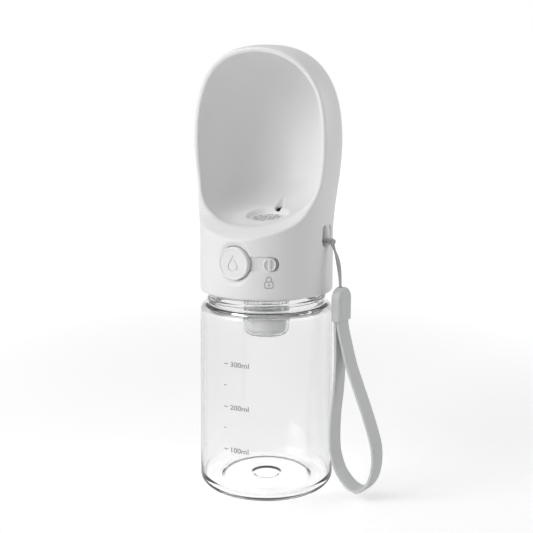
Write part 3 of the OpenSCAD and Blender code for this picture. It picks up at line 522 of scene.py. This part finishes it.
def rim_line():
    """The scoop's open front, seen from the side, from the lip up, as (y, z)."""
    low = list(LIP_LINE)
    for z in np.linspace(RIM_START_Z, RIM_FOOT_Z, RIM_STEPS):
        u = (RIM_FOOT_Z - z) / (RIM_FOOT_Z - LIP_RIM_Z)
        bend = 1 - max(0.0, 1 - u ** RIM_BEND) ** RIM_ROUND
        low.append((-RIM_Y - (BOTTLE_R - RIM_Y) * bend, z))
    high = [(-RIM_Y - RIM_LEAN * (i / LEAN_STEPS) ** LEAN_BEND,
             LEAN_Z + (HEAD_TOP - LEAN_Z) * i / LEAN_STEPS) for i in range(LEAN_STEPS + 1)]
    return [BELOW_LIP] + low + high + [ABOVE_TOP]


RIM = rim_line()


def shell_bosses(x, y, z, r, above_floor):
    """Inside the shell: the button's well, the port boss, the screw posts and the lug's pocket."""
    well = np.maximum(np.hypot(x, z - BUTTON_Z) - WELL_R, y + WELL_FLOOR - WELL_BASE)
    bosses = np.minimum(well, all_of(r - PORT_BOSS_R, PORT_BOSS_Z - z, above_floor))
    for a in map(math.radians, SCREW_ANGLES):
        axis = np.hypot(x - SCREW_RING * math.cos(a), y - SCREW_RING * math.sin(a))
        bosses = np.minimum(bosses, all_of(axis - SCREW_R - POST_WALL, DECK_TOP - z, above_floor))
    pocket = rounded_box(y, z - LUG_Z, LUG_REACH + POCKET_WALL, LUG_H / 2 + POCKET_WALL,
                         POCKET_ROUND)
    return np.minimum(bosses, np.maximum(pocket, POCKET_IN - x))


def cut_bowl(body, y, z, r, above_floor):
    """Opens the scoop's front along the rim and hollows out its bowl."""
    rim_y = np.interp(z, [p[1] for p in RIM], [p[0] for p in RIM], left=-1000)
    front = outline_distance(y, z, RIM) * np.where(y < rim_y, 1, -1)
    body = smooth_max(body, front, RIM_EDGE)
    thick = SCOOP_WALL + LOW_WALL * np.clip((LOW_WALL_Z - z) / LOW_WALL_H, 0, 1) ** 2
    bowl = smooth_max(wall_distance(r, z, thick), -above_floor, FLOOR_BLEND)
    return cut(body, bowl, BOWL_EDGE)


def cut_drain(body, x, y, z, r, above_floor, back):
    """The recess over the drain disc, whose rim is shifted, the disc's seat and the hole below."""
    over_disc, disc_back = tilted(y, z, DRAIN_Z, DRAIN_TILT)
    rise = np.clip(over_disc / np.maximum(over_disc - above_floor, 0.1), 0, 1)
    across = np.hypot(x - RECESS_X * rise, disc_back + (back - RECESS_Y - disc_back) * rise)
    bore = across - GRILLE_R - RECESS_PLAY - (RECESS_R - GRILLE_R - RECESS_PLAY) * rise
    body = cut(body, all_of(bore, -over_disc, above_floor - RECESS_UP), RECESS_EDGE)
    seat = all_of(np.hypot(x, disc_back) - GRILLE_R - SEAT_PLAY, -over_disc - GRILLE_T,
                  over_disc - SEAT_UP)
    drain = all_of(r - DRAIN_R, z - FLOOR_Z + DRAIN_DOWN, PORT_BOSS_Z - DRAIN_LOW - z)
    return cut(body, np.minimum(seat, drain))


def cut_vent(body, x, z, above_floor, back):
    """The air vent: a slot that narrows as it runs up the back of the bowl."""
    run_x, run_y = VENT_RUN
    vent_x, vent_y = x - VENT_LOW[0], back - VENT_LOW[1]
    t = np.clip((vent_x * run_x + vent_y * run_y) / (run_x ** 2 + run_y ** 2), 0, 1)
    vent = (np.hypot(vent_x - run_x * t, vent_y - run_y * t)
            - VENT_WIDE + (VENT_WIDE - VENT_NARROW) * t)
    vent_floor = VENT_FLOOR_Z + VENT_FLOOR_RISE * t
    return cut(body, all_of(vent, vent_floor - z, above_floor - VENT_UP), VENT_EDGE)


def cut_well(body, x, y, z):
    """The button's dish and well, and the bore of its rod."""
    out, wide = -y, np.hypot(x, z - BUTTON_Z)
    flare = (wide - WELL_BORE - (out - DISH_FROM) * DISH_FLARE) * DISH_SCALE
    body = cut(body, np.maximum(flare, DISH_LOW - out), DISH_EDGE)
    body = cut(body, np.maximum(wide - WELL_BORE, WELL_FLOOR - out))
    return cut(body, np.maximum(wide - ROD_BORE, ROD_FROM - out))


def cut_channel(body, x, y, z, r):
    """The lock's channel, and the slot in its floor.

    The slot's distance is 0 all through it, so its edges lie on the points of the grid.
    """
    angle = np.arctan2(x, -y) - KNOB_A
    side = r * np.sin(angle)
    past_end = np.maximum(side - (CHANNEL_END - CHANNEL_H / 2), 0)
    track = np.hypot(past_end, z - BUTTON_Z) - CHANNEL_H / 2
    track_floor = CHANNEL_FLOOR - CHANNEL_DEEP * np.clip((side - DEEP_FROM) / DEEP_RUN, 0, 1)
    body = cut(body, all_of(track, -CHANNEL_L - side, track_floor - r, y - FRONT_Y), CHANNEL_EDGE)
    past_slot = np.maximum(np.abs(angle + KNOB_SWING / 2) - SLOT_A, 0) * SLOT_SCALE
    return cut(body, all_of(np.abs(z - BUTTON_Z) - SLOT_H, past_slot, SLOT_IN - r, y - FRONT_Y))


def make_lug(body, x, y, z):
    """The strap's lug: a hole with rounded ends behind an upright bar."""
    hole = np.maximum(rounded_box(y, z - LUG_Z, LUG_REACH, LUG_H / 2, LUG_ROUND), LUG_IN - x)
    body = cut(body, hole, LUG_EDGE)
    bow = BAR_OUT - BAR_BOW * (z - LUG_Z) ** 2
    bar = smooth_max(np.abs(y) - BAR_W / 2, np.maximum(x - bow, BAR_IN - x), BAR_EDGE)
    bar = smooth_max(bar, np.abs(z - LUG_Z) - LUG_H / 2 - BAR_END, BAR_END_EDGE)
    return smooth_min(body, bar, BAR_BLEND)


def shell_distance(x, y, z):
    """The head's shell: the skirt, the scoop and all that is moulded onto them."""
    r = np.hypot(x, y)
    outer = wall_distance(r, z, 0.0)
    above_floor, back = tilted(y, z, FLOOR_Z, FLOOR_TILT)
    above_under, _ = tilted(y, z, FLOOR_Z, UNDER_TILT)
    body = smooth_max(outer, SKIRT_Z - z, SKIRT_EDGE)
    body = cut(body, np.maximum(r - BOTTLE_R + SKIRT_WALL, above_under + FLOOR_T), INSIDE_EDGE)
    bosses = shell_bosses(x, y, z, r, above_floor)
    body = smooth_min(body, np.maximum(bosses, outer + BOSS_SINK), BOSS_BLEND)
    body = cut_bowl(body, y, z, r, above_floor)
    body = cut_drain(body, x, y, z, r, above_floor, back)
    body = cut_vent(body, x, z, above_floor, back)
    body = cut_well(body, x, y, z)
    body = cut_channel(body, x, y, z, r)
    return make_lug(body, x, y, z)


moulded("scoop_shell", shell_distance, (-44, -40, 113), (44, 44, 252.5), SHELL_STEP,
        WHITE, "head", ("head_shell",))

# ---------- Button and lock knob ----------
DROP_W, DROP_H, DROP_DOWN, DROP_POWER, DROP_POINTS = 3.8, 3.85, 0.2, 1.5, 49
DROP_GROOVE, DROP_DEPTH, DROP_EDGE = 0.4, 0.9, 0.35
FACE_R, FACE_RUN, FACE_SUNK, CAP_EDGE, CAP_WALL, CAP_BOX = 8.3, 0.7, 0.35, 1.0, 1.6, 9.4
KNOB_TOP, KNOB_EDGE, KNOB_LIFT, KNOB_UNDER_EDGE, KNOB_RIM = 0.7, 0.7, 0.2, 0.2, 0.7
RIB_HALF, HOLLOW_UP, HOLLOW_EDGE = 0.7, 0.35, 0.4
KNOB_NECK_R, KNOB_NECK_IN, KNOB_NECK_OUT, KNOB_MID = 1.38, 34.6, 37.4, 37
TONGUE_LOW, TONGUE_HIGH, TONGUE_STEPS, TONGUE_END = 0.03, 0.16, 13, 0.02


def drop_line():
    """Outline of a water drop, as (across, up)."""
    return [(DROP_W * math.sin(t) * abs(math.sin(t / 2)) ** DROP_POWER,
             DROP_H * math.cos(t) - DROP_DOWN) for t in np.linspace(0, 2 * math.pi, DROP_POINTS)]


DROP = drop_line()


def cap_distance(x, y, z):
    """The button's cap: a hollow disc with a sunk face and a drop as a groove in it."""
    r, out = np.hypot(x, z - BUTTON_Z), -y
    t = (FACE_R - r) / FACE_RUN
    face = BUTTON_FACE - FACE_SUNK * np.clip(t, 0, 1) ** 2 * np.clip(3 - 2 * t, 1, 3)
    body = smooth_max(r - BUTTON_R, out - face, CAP_EDGE)
    body = np.maximum(body, CAP_BACK - out)
    body = cut(body, np.maximum(r - BUTTON_R + CAP_WALL, out - CAP_INSIDE))
    groove = outline_distance(x, z - BUTTON_Z, DROP)
    return cut(body, np.maximum(groove - DROP_GROOVE, BUTTON_FACE - DROP_DEPTH - out), DROP_EDGE)


moulded("button_cap_face", cap_distance, (-CAP_BOX, -39.4, BUTTON_Z - CAP_BOX),
        (CAP_BOX, -32.1, BUTTON_Z + CAP_BOX), CAP_STEP, WHITE, "button",
        ("button_cap",))


def knob_distance(x, y, z):
    """The lock's knob: a disc hollowed on both sides of an upright rib, on its neck."""
    out = x * math.sin(KNOB_A) - y * math.cos(KNOB_A)
    side = x * math.cos(KNOB_A) + y * math.sin(KNOB_A)
    r = np.hypot(side, z - BUTTON_Z)
    disc = smooth_max(r - KNOB_R, out - BOTTLE_R - KNOB_TOP, KNOB_EDGE)
    disc = smooth_max(disc, CHANNEL_FLOOR + KNOB_LIFT - out, KNOB_UNDER_EDGE)
    hollow = all_of(r - KNOB_R + KNOB_RIM, RIB_HALF - np.abs(side), BOTTLE_R - HOLLOW_UP - out)
    disc = cut(disc, hollow, HOLLOW_EDGE)
    return np.minimum(disc, all_of(r - KNOB_NECK_R, KNOB_NECK_IN - out, out - KNOB_NECK_OUT))


KNOB_AT = (KNOB_MID * math.sin(KNOB_A), -KNOB_MID * math.cos(KNOB_A), BUTTON_Z)
moulded("lock_knob_face", knob_distance, (KNOB_AT[0] - 6.5, KNOB_AT[1] - 4.6, KNOB_AT[2] - 4.4),
        (KNOB_AT[0] + 4.6, KNOB_AT[1] + 4.6, KNOB_AT[2] + 4.4), KNOB_STEP,
        WHITE, "lock", ("lock_knob",))


def tongue():
    """The thin curved strip beside the knob, which covers the slot as the knob slides."""
    low, high, half = CHANNEL_FLOOR + TONGUE_LOW, CHANNEL_FLOOR + TONGUE_HIGH, TONGUE_H / 2
    section = ((low, -half), (high, -half), (high, 0), (high, half), (low, half), (low, 0))
    rings = [[(r * math.sin(a), -r * math.cos(a), BUTTON_Z + v) for r, v in section]
             for a in np.linspace(KNOB_A - TONGUE_A, KNOB_A - TONGUE_END, TONGUE_STEPS)]
    verts, faces = swept(rings)
    add("lock_tongue_strip", verts, faces, WHITE, "lock", smooth=False)


tongue()

# ---------- Drain disc and filter basket ----------
HOLE_R, HOLE_LONG, HOLE_PITCH, HOLE_ROW, SKIN_T = 0.75, 0.4, 2.3, 4.2, 0.35
HOLE_ROWS, HOLE_MARGIN, HOLE_SCALE = range(-5, 6), 1.8, 0.8


def disc_distance(x, y, z):
    """A thin perforated skin on a ring: the holes widen downwards and open into the drain."""
    over, back = tilted(y, z, DRAIN_Z, DRAIN_TILT)
    r = np.hypot(x, back)
    holes = np.full(np.broadcast(x, y, z).shape, FAR)
    for j in HOLE_ROWS:
        for i in HOLE_ROWS:
            hole_x, hole_y = HOLE_PITCH * (i + 0.5 * (j % 2)), HOLE_ROW * j
            if math.hypot(hole_x, hole_y) < GRILLE_R - HOLE_MARGIN:
                along = np.maximum(np.abs(back - hole_y) - HOLE_LONG, 0)
                holes = np.minimum(holes, np.hypot(x - hole_x, along))
    body = all_of(r - GRILLE_R, over, -over - GRILLE_T)
    body = cut(body, np.maximum(r - DRAIN_R, over + SKIN_T))
    return np.maximum(body, (HOLE_R - over - holes) * HOLE_SCALE)


moulded("drain_disc", disc_distance, (-11, -11, DRAIN_Z - 2.4), (11, 11, DRAIN_Z + 1.4),
        DISC_STEP, GRILLE, "head", ("drain_grille",))

BASKET_R, BASKET_WALL, BASKET_LOW, BASKET_TOP, FLANGE_T = 13.25, 1.2, 88.1, 113.3, 1.6
FLANGE_R, BASKET_ROUND, BASKET_EDGE, BASKET_OVER = 15.2, 4.0, 0.3, 10
WINDOWS, WINDOW_Z, WINDOW_H, WINDOW_W, WINDOW_ROUND = 16, 105.6, 7.2, 2.6, 0.5
KEY_TOP, KEY_HALF, KEY_SINK = 120.7, 2, 0.1


def basket_distance(x, y, z):
    """A cup with a rounded bottom, a row of windows, a flange and three keys."""
    r, high = np.hypot(x, y), BASKET_TOP + FLANGE_T
    tall = high + BASKET_OVER - BASKET_LOW
    cup = rounded_box(r, z - BASKET_LOW - tall / 2, BASKET_R, tall / 2, BASKET_ROUND)
    hollow = rounded_box(r, z - BASKET_LOW - BASKET_WALL - tall / 2, BASKET_R - BASKET_WALL,
                         tall / 2, BASKET_ROUND - BASKET_WALL)
    body = np.minimum(cup, np.maximum(r - FLANGE_R, BASKET_TOP - z))
    body = cut(np.maximum(body, z - high), hollow, BASKET_EDGE)
    for a in map(math.radians, SCREW_ANGLES):
        out, side = x * math.cos(a) + y * math.sin(a), y * math.cos(a) - x * math.sin(a)
        key = all_of(BASKET_R - BASKET_WALL + KEY_SINK - out, out - FLANGE_R,
                     np.abs(side) - KEY_HALF, BASKET_TOP - z, z - KEY_TOP)
        body = np.minimum(body, key)
    turn = 2 * math.pi / WINDOWS
    off = np.mod(np.arctan2(y, x) + turn / 2, turn) - turn / 2
    window = rounded_box(r * np.sin(off), z - WINDOW_Z, WINDOW_W / 2, WINDOW_H / 2, WINDOW_ROUND)
    return cut(body, np.maximum(window, BASKET_R / 2 - r), BASKET_EDGE)


moulded("basket_cup", basket_distance, (-16, -16, BASKET_LOW - 1), (16, 16, KEY_TOP + 1),
        BASKET_STEP, SMOKY, "head", ("filter_basket",))

# ---------- Bottle ----------
# The foot's underside as (r, share of the punt's height), and the floor's inside as (r, depth)
PUNT = ((0.01, 0.5), (6.2, 0.5), (6.9, 0.55), (7.4, 0.8), (8.1, 0.97), (9, 1.0), (16, 1.0),
        (23.4, 1.0), (24.3, 0.97), (25.1, 0.72), (26.0, 0.2), (26.6, 0.03))
RING_DEPTH = 0.8
FLOOR_INSIDE = ((27.4, RING_DEPTH), (26.6, 0.6), (25.6, 0.1), (24.8, 0), (16, 0), (9.6, 0),
                (8.8, 0.1), (8.0, 0.7), (7.2, RING_DEPTH), (0.01, RING_DEPTH))
WALL_SHARES, INSIDE_SHARES = (0.02, 0.25, 0.5, 0.75, 0.98), (0.02, 0.3, 0.6, 0.9)
INSIDE_TOP, INSIDE_RUN, NECK_STEP, LIP_ROUND = 98, 88, 0.22, 0.6
BOTTLE_SIDES = 160
THREAD_HALF, THREAD_FLANK, THREAD_FADE = 1.1, 0.6, 45


def arc(cx, cy, r, a0, a1, n):
    """An arc of n steps between two angles in degrees."""
    angles = [math.radians(a0 + (a1 - a0) * i / n) for i in range(n + 1)]
    return [(cx + r * math.cos(a), cy + r * math.sin(a)) for a in angles]


def bottle_profile():
    """Half section as (r, z), and the first and last row of the neck in it.

    It runs from the foot's centre up the outside and back down the inside.
    """
    floor_in = PUNT_H + PUNT_WALL
    wall_low, wall_high = FOOT_ROUND, SHOULDER_Z - SHOULDER_ROUND
    outside = [(r, PUNT_H * share) for r, share in PUNT]
    outside += arc(FOOT_R - FOOT_ROUND, FOOT_ROUND, FOOT_ROUND, -90, 0, 12)
    outside += [(FOOT_R - (FOOT_R - BOTTLE_R) * t, wall_low + (wall_high - wall_low) * t)
                for t in WALL_SHARES]
    outside += arc(BOTTLE_R - SHOULDER_ROUND, wall_high, SHOULDER_ROUND, 0, 90, 10)
    outside += [(NECK_R + 0.5, SHOULDER_Z + 0.05), (NECK_R + 0.1, SHOULDER_Z + 0.3)]
    neck = [(NECK_R, z) for z in np.arange(SHOULDER_Z + 0.6, LIP_Z - 0.7, NECK_STEP)]
    under = SHOULDER_Z - SHOULDER_WALL
    inside = arc(NECK_R - LIP_ROUND, LIP_Z - LIP_ROUND, LIP_ROUND, 0, 90, 4)
    inside += arc(NECK_BORE + LIP_ROUND, LIP_Z - LIP_ROUND, LIP_ROUND, 90, 180, 4)
    inside += [(NECK_BORE, z) for z in (117, 113, 109, under + 1.4)]
    inside += [(NECK_BORE + 0.2, under + 0.5), (NECK_BORE + 0.8, under)]
    inside += arc(BOTTLE_R - WALL - SHOULDER_INSIDE, under - SHOULDER_INSIDE, SHOULDER_INSIDE,
                  90, 0, 10)
    inside += [(BOTTLE_R - WALL + t, INSIDE_TOP - INSIDE_RUN * t) for t in INSIDE_SHARES]
    inside += arc(FOOT_R - WALL - FOOT_ROUND, floor_in - RING_DEPTH + FOOT_ROUND, FOOT_ROUND,
                  0, -90, 12)
    inside += [(r, floor_in - depth) for r, depth in FLOOR_INSIDE]
    return outside + neck + inside, len(outside), len(outside) + len(neck)


def thread_height(angle, z):
    """How far the neck's ridge stands out, for an angle in degrees."""
    best = np.zeros(np.broadcast(angle, z).shape)
    for turn in range(-1, 4):
        run = angle - THREAD_A + 360 * turn
        fade = np.clip(np.minimum(run, 360 * THREAD_TURNS - run) / THREAD_FADE, 0, 1)
        off = np.abs(z - THREAD_Z - PITCH * run / 360)
        ridge = np.clip((THREAD_HALF - off) / THREAD_FLANK, 0, 1)
        best = np.maximum(best, fade * THREAD_DEPTH * ridge)
    return best


def bottle():
    """The clear wall, turned from its profile, with the thread on its neck."""
    profile, first, last = bottle_profile()
    angle = np.arange(BOTTLE_SIDES) * 360 / BOTTLE_SIDES - 180
    a = np.radians(angle)
    rings = []
    for i, (r, z) in enumerate(profile):
        radius = np.full(BOTTLE_SIDES, r)
        if first <= i < last:
            radius = radius + thread_height(angle, z)
        rings.append(np.stack([radius * np.cos(a), radius * np.sin(a),
                               np.full(BOTTLE_SIDES, z)], 1))
    verts, faces = swept(rings)
    wall = add("clear_bottle_wall", verts, faces, CLEAR, "bottle", ("bottle",))
    wall.visible_shadow = False  # a clear wall lets the lamps' light through to what it holds


bottle()

# ---------- Marks ----------
MARK_LIFT, MARK_T, MARK_STEP = 0.01, 0.05, 0.4
TICK_AZ, TICK_LEFT = math.radians(-8.7), -1.0
TICK_Z, TICK_STEP, TICKS = 78.6, 12.2, 5
LONG_TICK, SHORT_TICK, TICK_W, TEXT_GAP, TEXT_SIZE, TEXT_WIDE = 3.0, 1.8, 0.45, 4.2, 4.1, 1.13
TEXT_BOLD, TOP_MARK, TICK_ML = 0.05, 300, 50
SIGN_LEFT, SIGN_Z, SIGN_LINE, KEYHOLE_LINE = 0.3, 124.0, 0.45, 0.7
PAD_HALF, PAD_LOW, PAD_HIGH, PAD_CORNER, SHACKLE_R, SHACKLE_UP = 2.2, -2.2, 1.2, 0.5, 1.35, 1.3
KEYHOLE = [(0, -1.1), (0, -0.5), (0, 0.1)]


def on_surface(across, up, lift, centre, radius):
    """A point on the bottle or skirt, across and up along it from an angle to the front."""
    a = centre + np.asarray(across) / radius
    return np.stack([(radius + lift) * np.sin(a), -(radius + lift) * np.cos(a),
                     np.asarray(up) + 0.0 * a], -1)


def ribbon(points, width, height, place):
    """A thin raised line through points (across, up), as vertices and faces."""
    p = np.asarray(points, float)
    run = run_along(p)
    even = np.linspace(0, run[-1], int(run[-1] / MARK_STEP) + 2)
    fine = np.unique(np.concatenate([run, even]))
    p = np.stack([np.interp(fine, run, p[:, i]) for i in (0, 1)], 1)
    closed = np.allclose(p[0], p[-1])
    after, before = (p[1:2], p[-2:-1]) if closed else (p[-1:], p[:1])
    ends = np.vstack([p[1:], after]) - np.vstack([before, p[:-1]])
    ends /= np.linalg.norm(ends, axis=1)[:, None]
    side = np.stack([-ends[:, 1], ends[:, 0]], 1) * width / 2
    rings = [[place(*(q + s), 0.0), place(*(q + s), height), place(*(q - s), height),
              place(*(q - s), 0.0)] for q, s in zip(p, side)]
    return swept(rings)


def join(parts):
    """One mesh from several."""
    verts, faces, start = [], [], 0
    for v, f in parts:
        verts.append(np.asarray(v))
        faces += [tuple(i + start for i in face) for face in f]
        start += len(v)
    return np.concatenate(verts), faces


def wall_radius(z):
    """Radius of the bottle's slightly tapered wall."""
    tall = SHOULDER_Z - SHOULDER_ROUND - FOOT_ROUND
    return FOOT_R - (FOOT_R - BOTTLE_R) * (z - FOOT_ROUND) / tall


def on_wall(across, up, lift):
    """A point of the graduations."""
    return on_surface(across, up, MARK_LIFT + lift, TICK_AZ, wall_radius(up))


def under_knob(across, up, lift):
    """A point of the padlock sign."""
    return on_surface(across - SIGN_LEFT, up + SIGN_Z, MARK_LIFT + lift, KNOB_A, BOTTLE_R)


def number(words, left, z):
    """Plain measuring figures, laid on the bottle's wall."""
    text = bpy.data.curves.new("figures", "FONT")
    text.body, text.size, text.extrude, text.resolution_u = words, TEXT_SIZE, MARK_T / 2, 3
    text.offset = TEXT_BOLD
    holder = bpy.data.objects.new("figures", text)
    bpy.context.scene.collection.objects.link(holder)
    mesh = bpy.data.meshes.new_from_object(
        holder.evaluated_get(bpy.context.evaluated_depsgraph_get()))
    points = np.array([v.co[:] for v in mesh.vertices])
    faces = [tuple(f.vertices) for f in mesh.polygons]
    points[:, 1] -= (points[:, 1].min() + points[:, 1].max()) / 2
    up, lift = z + points[:, 1], MARK_LIFT + MARK_T / 2 + points[:, 2]
    placed = on_surface(left + points[:, 0] * TEXT_WIDE, up, lift, TICK_AZ, wall_radius(up))
    bpy.data.objects.remove(holder)
    bpy.data.meshes.remove(mesh)
    bpy.data.curves.remove(text)
    return placed, faces


def graduations():
    """Five ticks, of which every other one is long and has its figures."""
    parts = []
    for i in range(TICKS):
        z = TICK_Z - i * TICK_STEP
        length = SHORT_TICK if i % 2 else LONG_TICK
        line = [(TICK_LEFT, z), (TICK_LEFT + length / 2, z), (TICK_LEFT + length, z)]
        parts.append(ribbon(line, TICK_W, MARK_T, on_wall))
        if i % 2 == 0:
            parts.append(number(f"{TOP_MARK - TICK_ML * i}ml", TICK_LEFT + TEXT_GAP, z))
    verts, faces = join(parts)
    add("graduation_print", verts, faces, PRINT, "bottle", smooth=False)


def padlock():
    """The padlock sign under the lock knob: its moulded grooves drawn as thin grey lines of painted
    shade.
    """
    w, low, high, r = PAD_HALF, PAD_LOW, PAD_HIGH, PAD_CORNER
    body = [(w - r, low), (w, low + r), (w, high - r), (w - r, high), (r - w, high),
            (-w, high - r), (-w, low + r), (r - w, low), (w - r, low)]
    bow = [(SHACKLE_R * math.cos(a), high + SHACKLE_UP + SHACKLE_R * math.sin(a))
           for a in np.linspace(math.pi, 0, 13)]
    shackle = [(-SHACKLE_R, high)] + bow + [(SHACKLE_R, high)]
    verts, faces = join([ribbon(body, SIGN_LINE, MARK_T, under_knob),
                         ribbon(shackle, SIGN_LINE, MARK_T, under_knob),
                         ribbon(KEYHOLE, KEYHOLE_LINE, MARK_T, under_knob)])
    add("padlock_shade_lines", verts, faces, PADLOCK_SHADE, "head", smooth=False)


graduations()
padlock()

# ---------- Stage and light ----------
WORLD_LIGHT = 0.26  # level that lights the object from all around
GLOW_NEAR, GLOW_FAR = 0.33, 0.95  # the lamps light the near floor too, so it glows less there
GLOW_FROM, GLOW_TO = 0.15, 1.2  # metres from the object
FLOOR_THROUGH, FLOOR_GLOSS = 0.7, 0.6  # how bright the floor shows through a wall, and by gloss
WORLD_THROUGH, WORLD_GLOSS = 0.87, 0.65
FLOOR_HALF, FLOOR_GREY, FLOOR_ROUGH = 6.0, 0.9, 0.9
ACROSS = (math.cos(CAMERA_AZ), math.sin(CAMERA_AZ), 0.0)  # darker towards both ends of this line
SIDE_FROM, SIDE_TO, SIDE_DIM = 0.3, 0.85, 0.35
NEAR_REACH = 0.05  # metres, keeps the share of ACROSS low right under the object
LAMP_TARGET = (0, 0, 0.15)
LAMPS = (  # name, place, size and power
    ("key_left", (-0.638, -0.911, 0.6), 0.7, 7.9),
    ("top_soft", (-0.106, -0.292, 1.309), 0.9, 2.8),
    ("rim_right", (0.90, 0.56, 0.53), 0.6, 3.6),
)


def math_node(tree, operation, a, b=None):
    """A node that works on numbers or sockets."""
    node = tree.nodes.new("ShaderNodeMath")
    node.operation = operation
    for socket, value in zip(node.inputs, (a, b)):
        if isinstance(value, (int, float)):
            socket.default_value = value
        elif value is not None:
            tree.links.new(value, socket)
    return node.outputs[0]


def vector_node(tree, operation, a, b=None):
    """A node that makes a number from a vector."""
    node = tree.nodes.new("ShaderNodeVectorMath")
    node.operation = operation
    tree.links.new(a, node.inputs[0])
    if b:
        node.inputs[1].default_value = b
    return node.outputs["Value"]


def ramp(tree, value, start, end, low, high):
    """A smooth step from low to high as the value goes from start to end."""
    node = tree.nodes.new("ShaderNodeMapRange")
    node.interpolation_type = "SMOOTHSTEP"
    levels = (("From Min", start), ("From Max", end), ("To Min", low), ("To Max", high))
    for socket, level in levels:
        node.inputs[socket].default_value = level
    tree.links.new(value, node.inputs["Value"])
    return node.outputs["Result"]


def seen_level(tree, place, through, gloss):
    """What a ray sees: 1 from the camera, less through a clear wall or by gloss, else 0."""
    path = tree.nodes.new("ShaderNodeLightPath")
    dot = math_node(tree, "ABSOLUTE", vector_node(tree, "DOT_PRODUCT", place, ACROSS))
    reach = math_node(tree, "ADD", vector_node(tree, "LENGTH", place), NEAR_REACH)
    side = ramp(tree, math_node(tree, "DIVIDE", dot, reach), SIDE_FROM, SIDE_TO, 1.0, SIDE_DIM)
    clear = math_node(tree, "MULTIPLY", path.outputs["Is Transmission Ray"], through)
    shine = math_node(tree, "MULTIPLY", path.outputs["Is Glossy Ray"], gloss)
    indirect = math_node(tree, "MULTIPLY", math_node(tree, "MAXIMUM", clear, shine), side)
    return math_node(tree, "MAXIMUM", path.outputs["Is Camera Ray"], indirect)


def stage_material():
    """White floor: it takes the object's shadow and shows as white elsewhere."""
    material = bpy.data.materials.new("floor_white")
    material.use_nodes = True
    tree = material.node_tree
    shader = tree.nodes["Principled BSDF"]
    shader.inputs["Base Color"].default_value = (FLOOR_GREY, FLOOR_GREY, FLOOR_GREY, 1)
    shader.inputs["Roughness"].default_value = FLOOR_ROUGH
    shader.inputs["Specular IOR Level"].default_value = 0.0
    place = tree.nodes.new("ShaderNodeTexCoord").outputs["Object"]
    glow = ramp(tree, vector_node(tree, "LENGTH", place), GLOW_FROM, GLOW_TO, GLOW_NEAR, GLOW_FAR)
    shader.inputs["Emission Color"].default_value = (1, 1, 1, 1)
    seen = seen_level(tree, place, FLOOR_THROUGH, FLOOR_GLOSS)
    tree.links.new(math_node(tree, "MULTIPLY", seen, glow), shader.inputs["Emission Strength"])
    return material


def stage():
    """The floor, and the world around it."""
    mesh = bpy.data.meshes.new("floor")
    places = [(FLOOR_HALF * u, FLOOR_HALF * v, 0) for u, v in ((-1, -1), (1, -1), (1, 1), (-1, 1))]
    mesh.from_pydata(places, [], [(0, 1, 2, 3)])
    mesh.materials.append(stage_material())
    floor = bpy.data.objects.new("floor", mesh)
    bpy.context.scene.collection.objects.link(floor)
    world = bpy.data.worlds.new("studio")
    bpy.context.scene.world = world
    world.use_nodes = True
    tree = world.node_tree
    sky = tree.nodes["Background"]
    sky.inputs["Color"].default_value = (1, 1, 1, 1)
    place = tree.nodes.new("ShaderNodeTexCoord").outputs["Generated"]
    seen = seen_level(tree, place, WORLD_THROUGH, WORLD_GLOSS)
    tree.links.new(math_node(tree, "MAXIMUM", seen, WORLD_LIGHT), sky.inputs["Strength"])


def lamp(name, place, size, power):
    """A square soft box that faces the bottle."""
    light = bpy.data.lights.new(name, "AREA")
    light.size, light.energy = size, power
    holder = bpy.data.objects.new(name, light)
    bpy.context.scene.collection.objects.link(holder)
    holder.location = place
    target = np.array(LAMP_TARGET) - place
    holder.rotation_euler = (math.atan2(math.hypot(target[0], target[1]), -target[2]), 0,
                             math.atan2(-target[0], target[1]))


stage()
for name, place, size, power in LAMPS:
    lamp(name, place, size, power)
bpy.context.scene.view_settings.view_transform = "Standard"
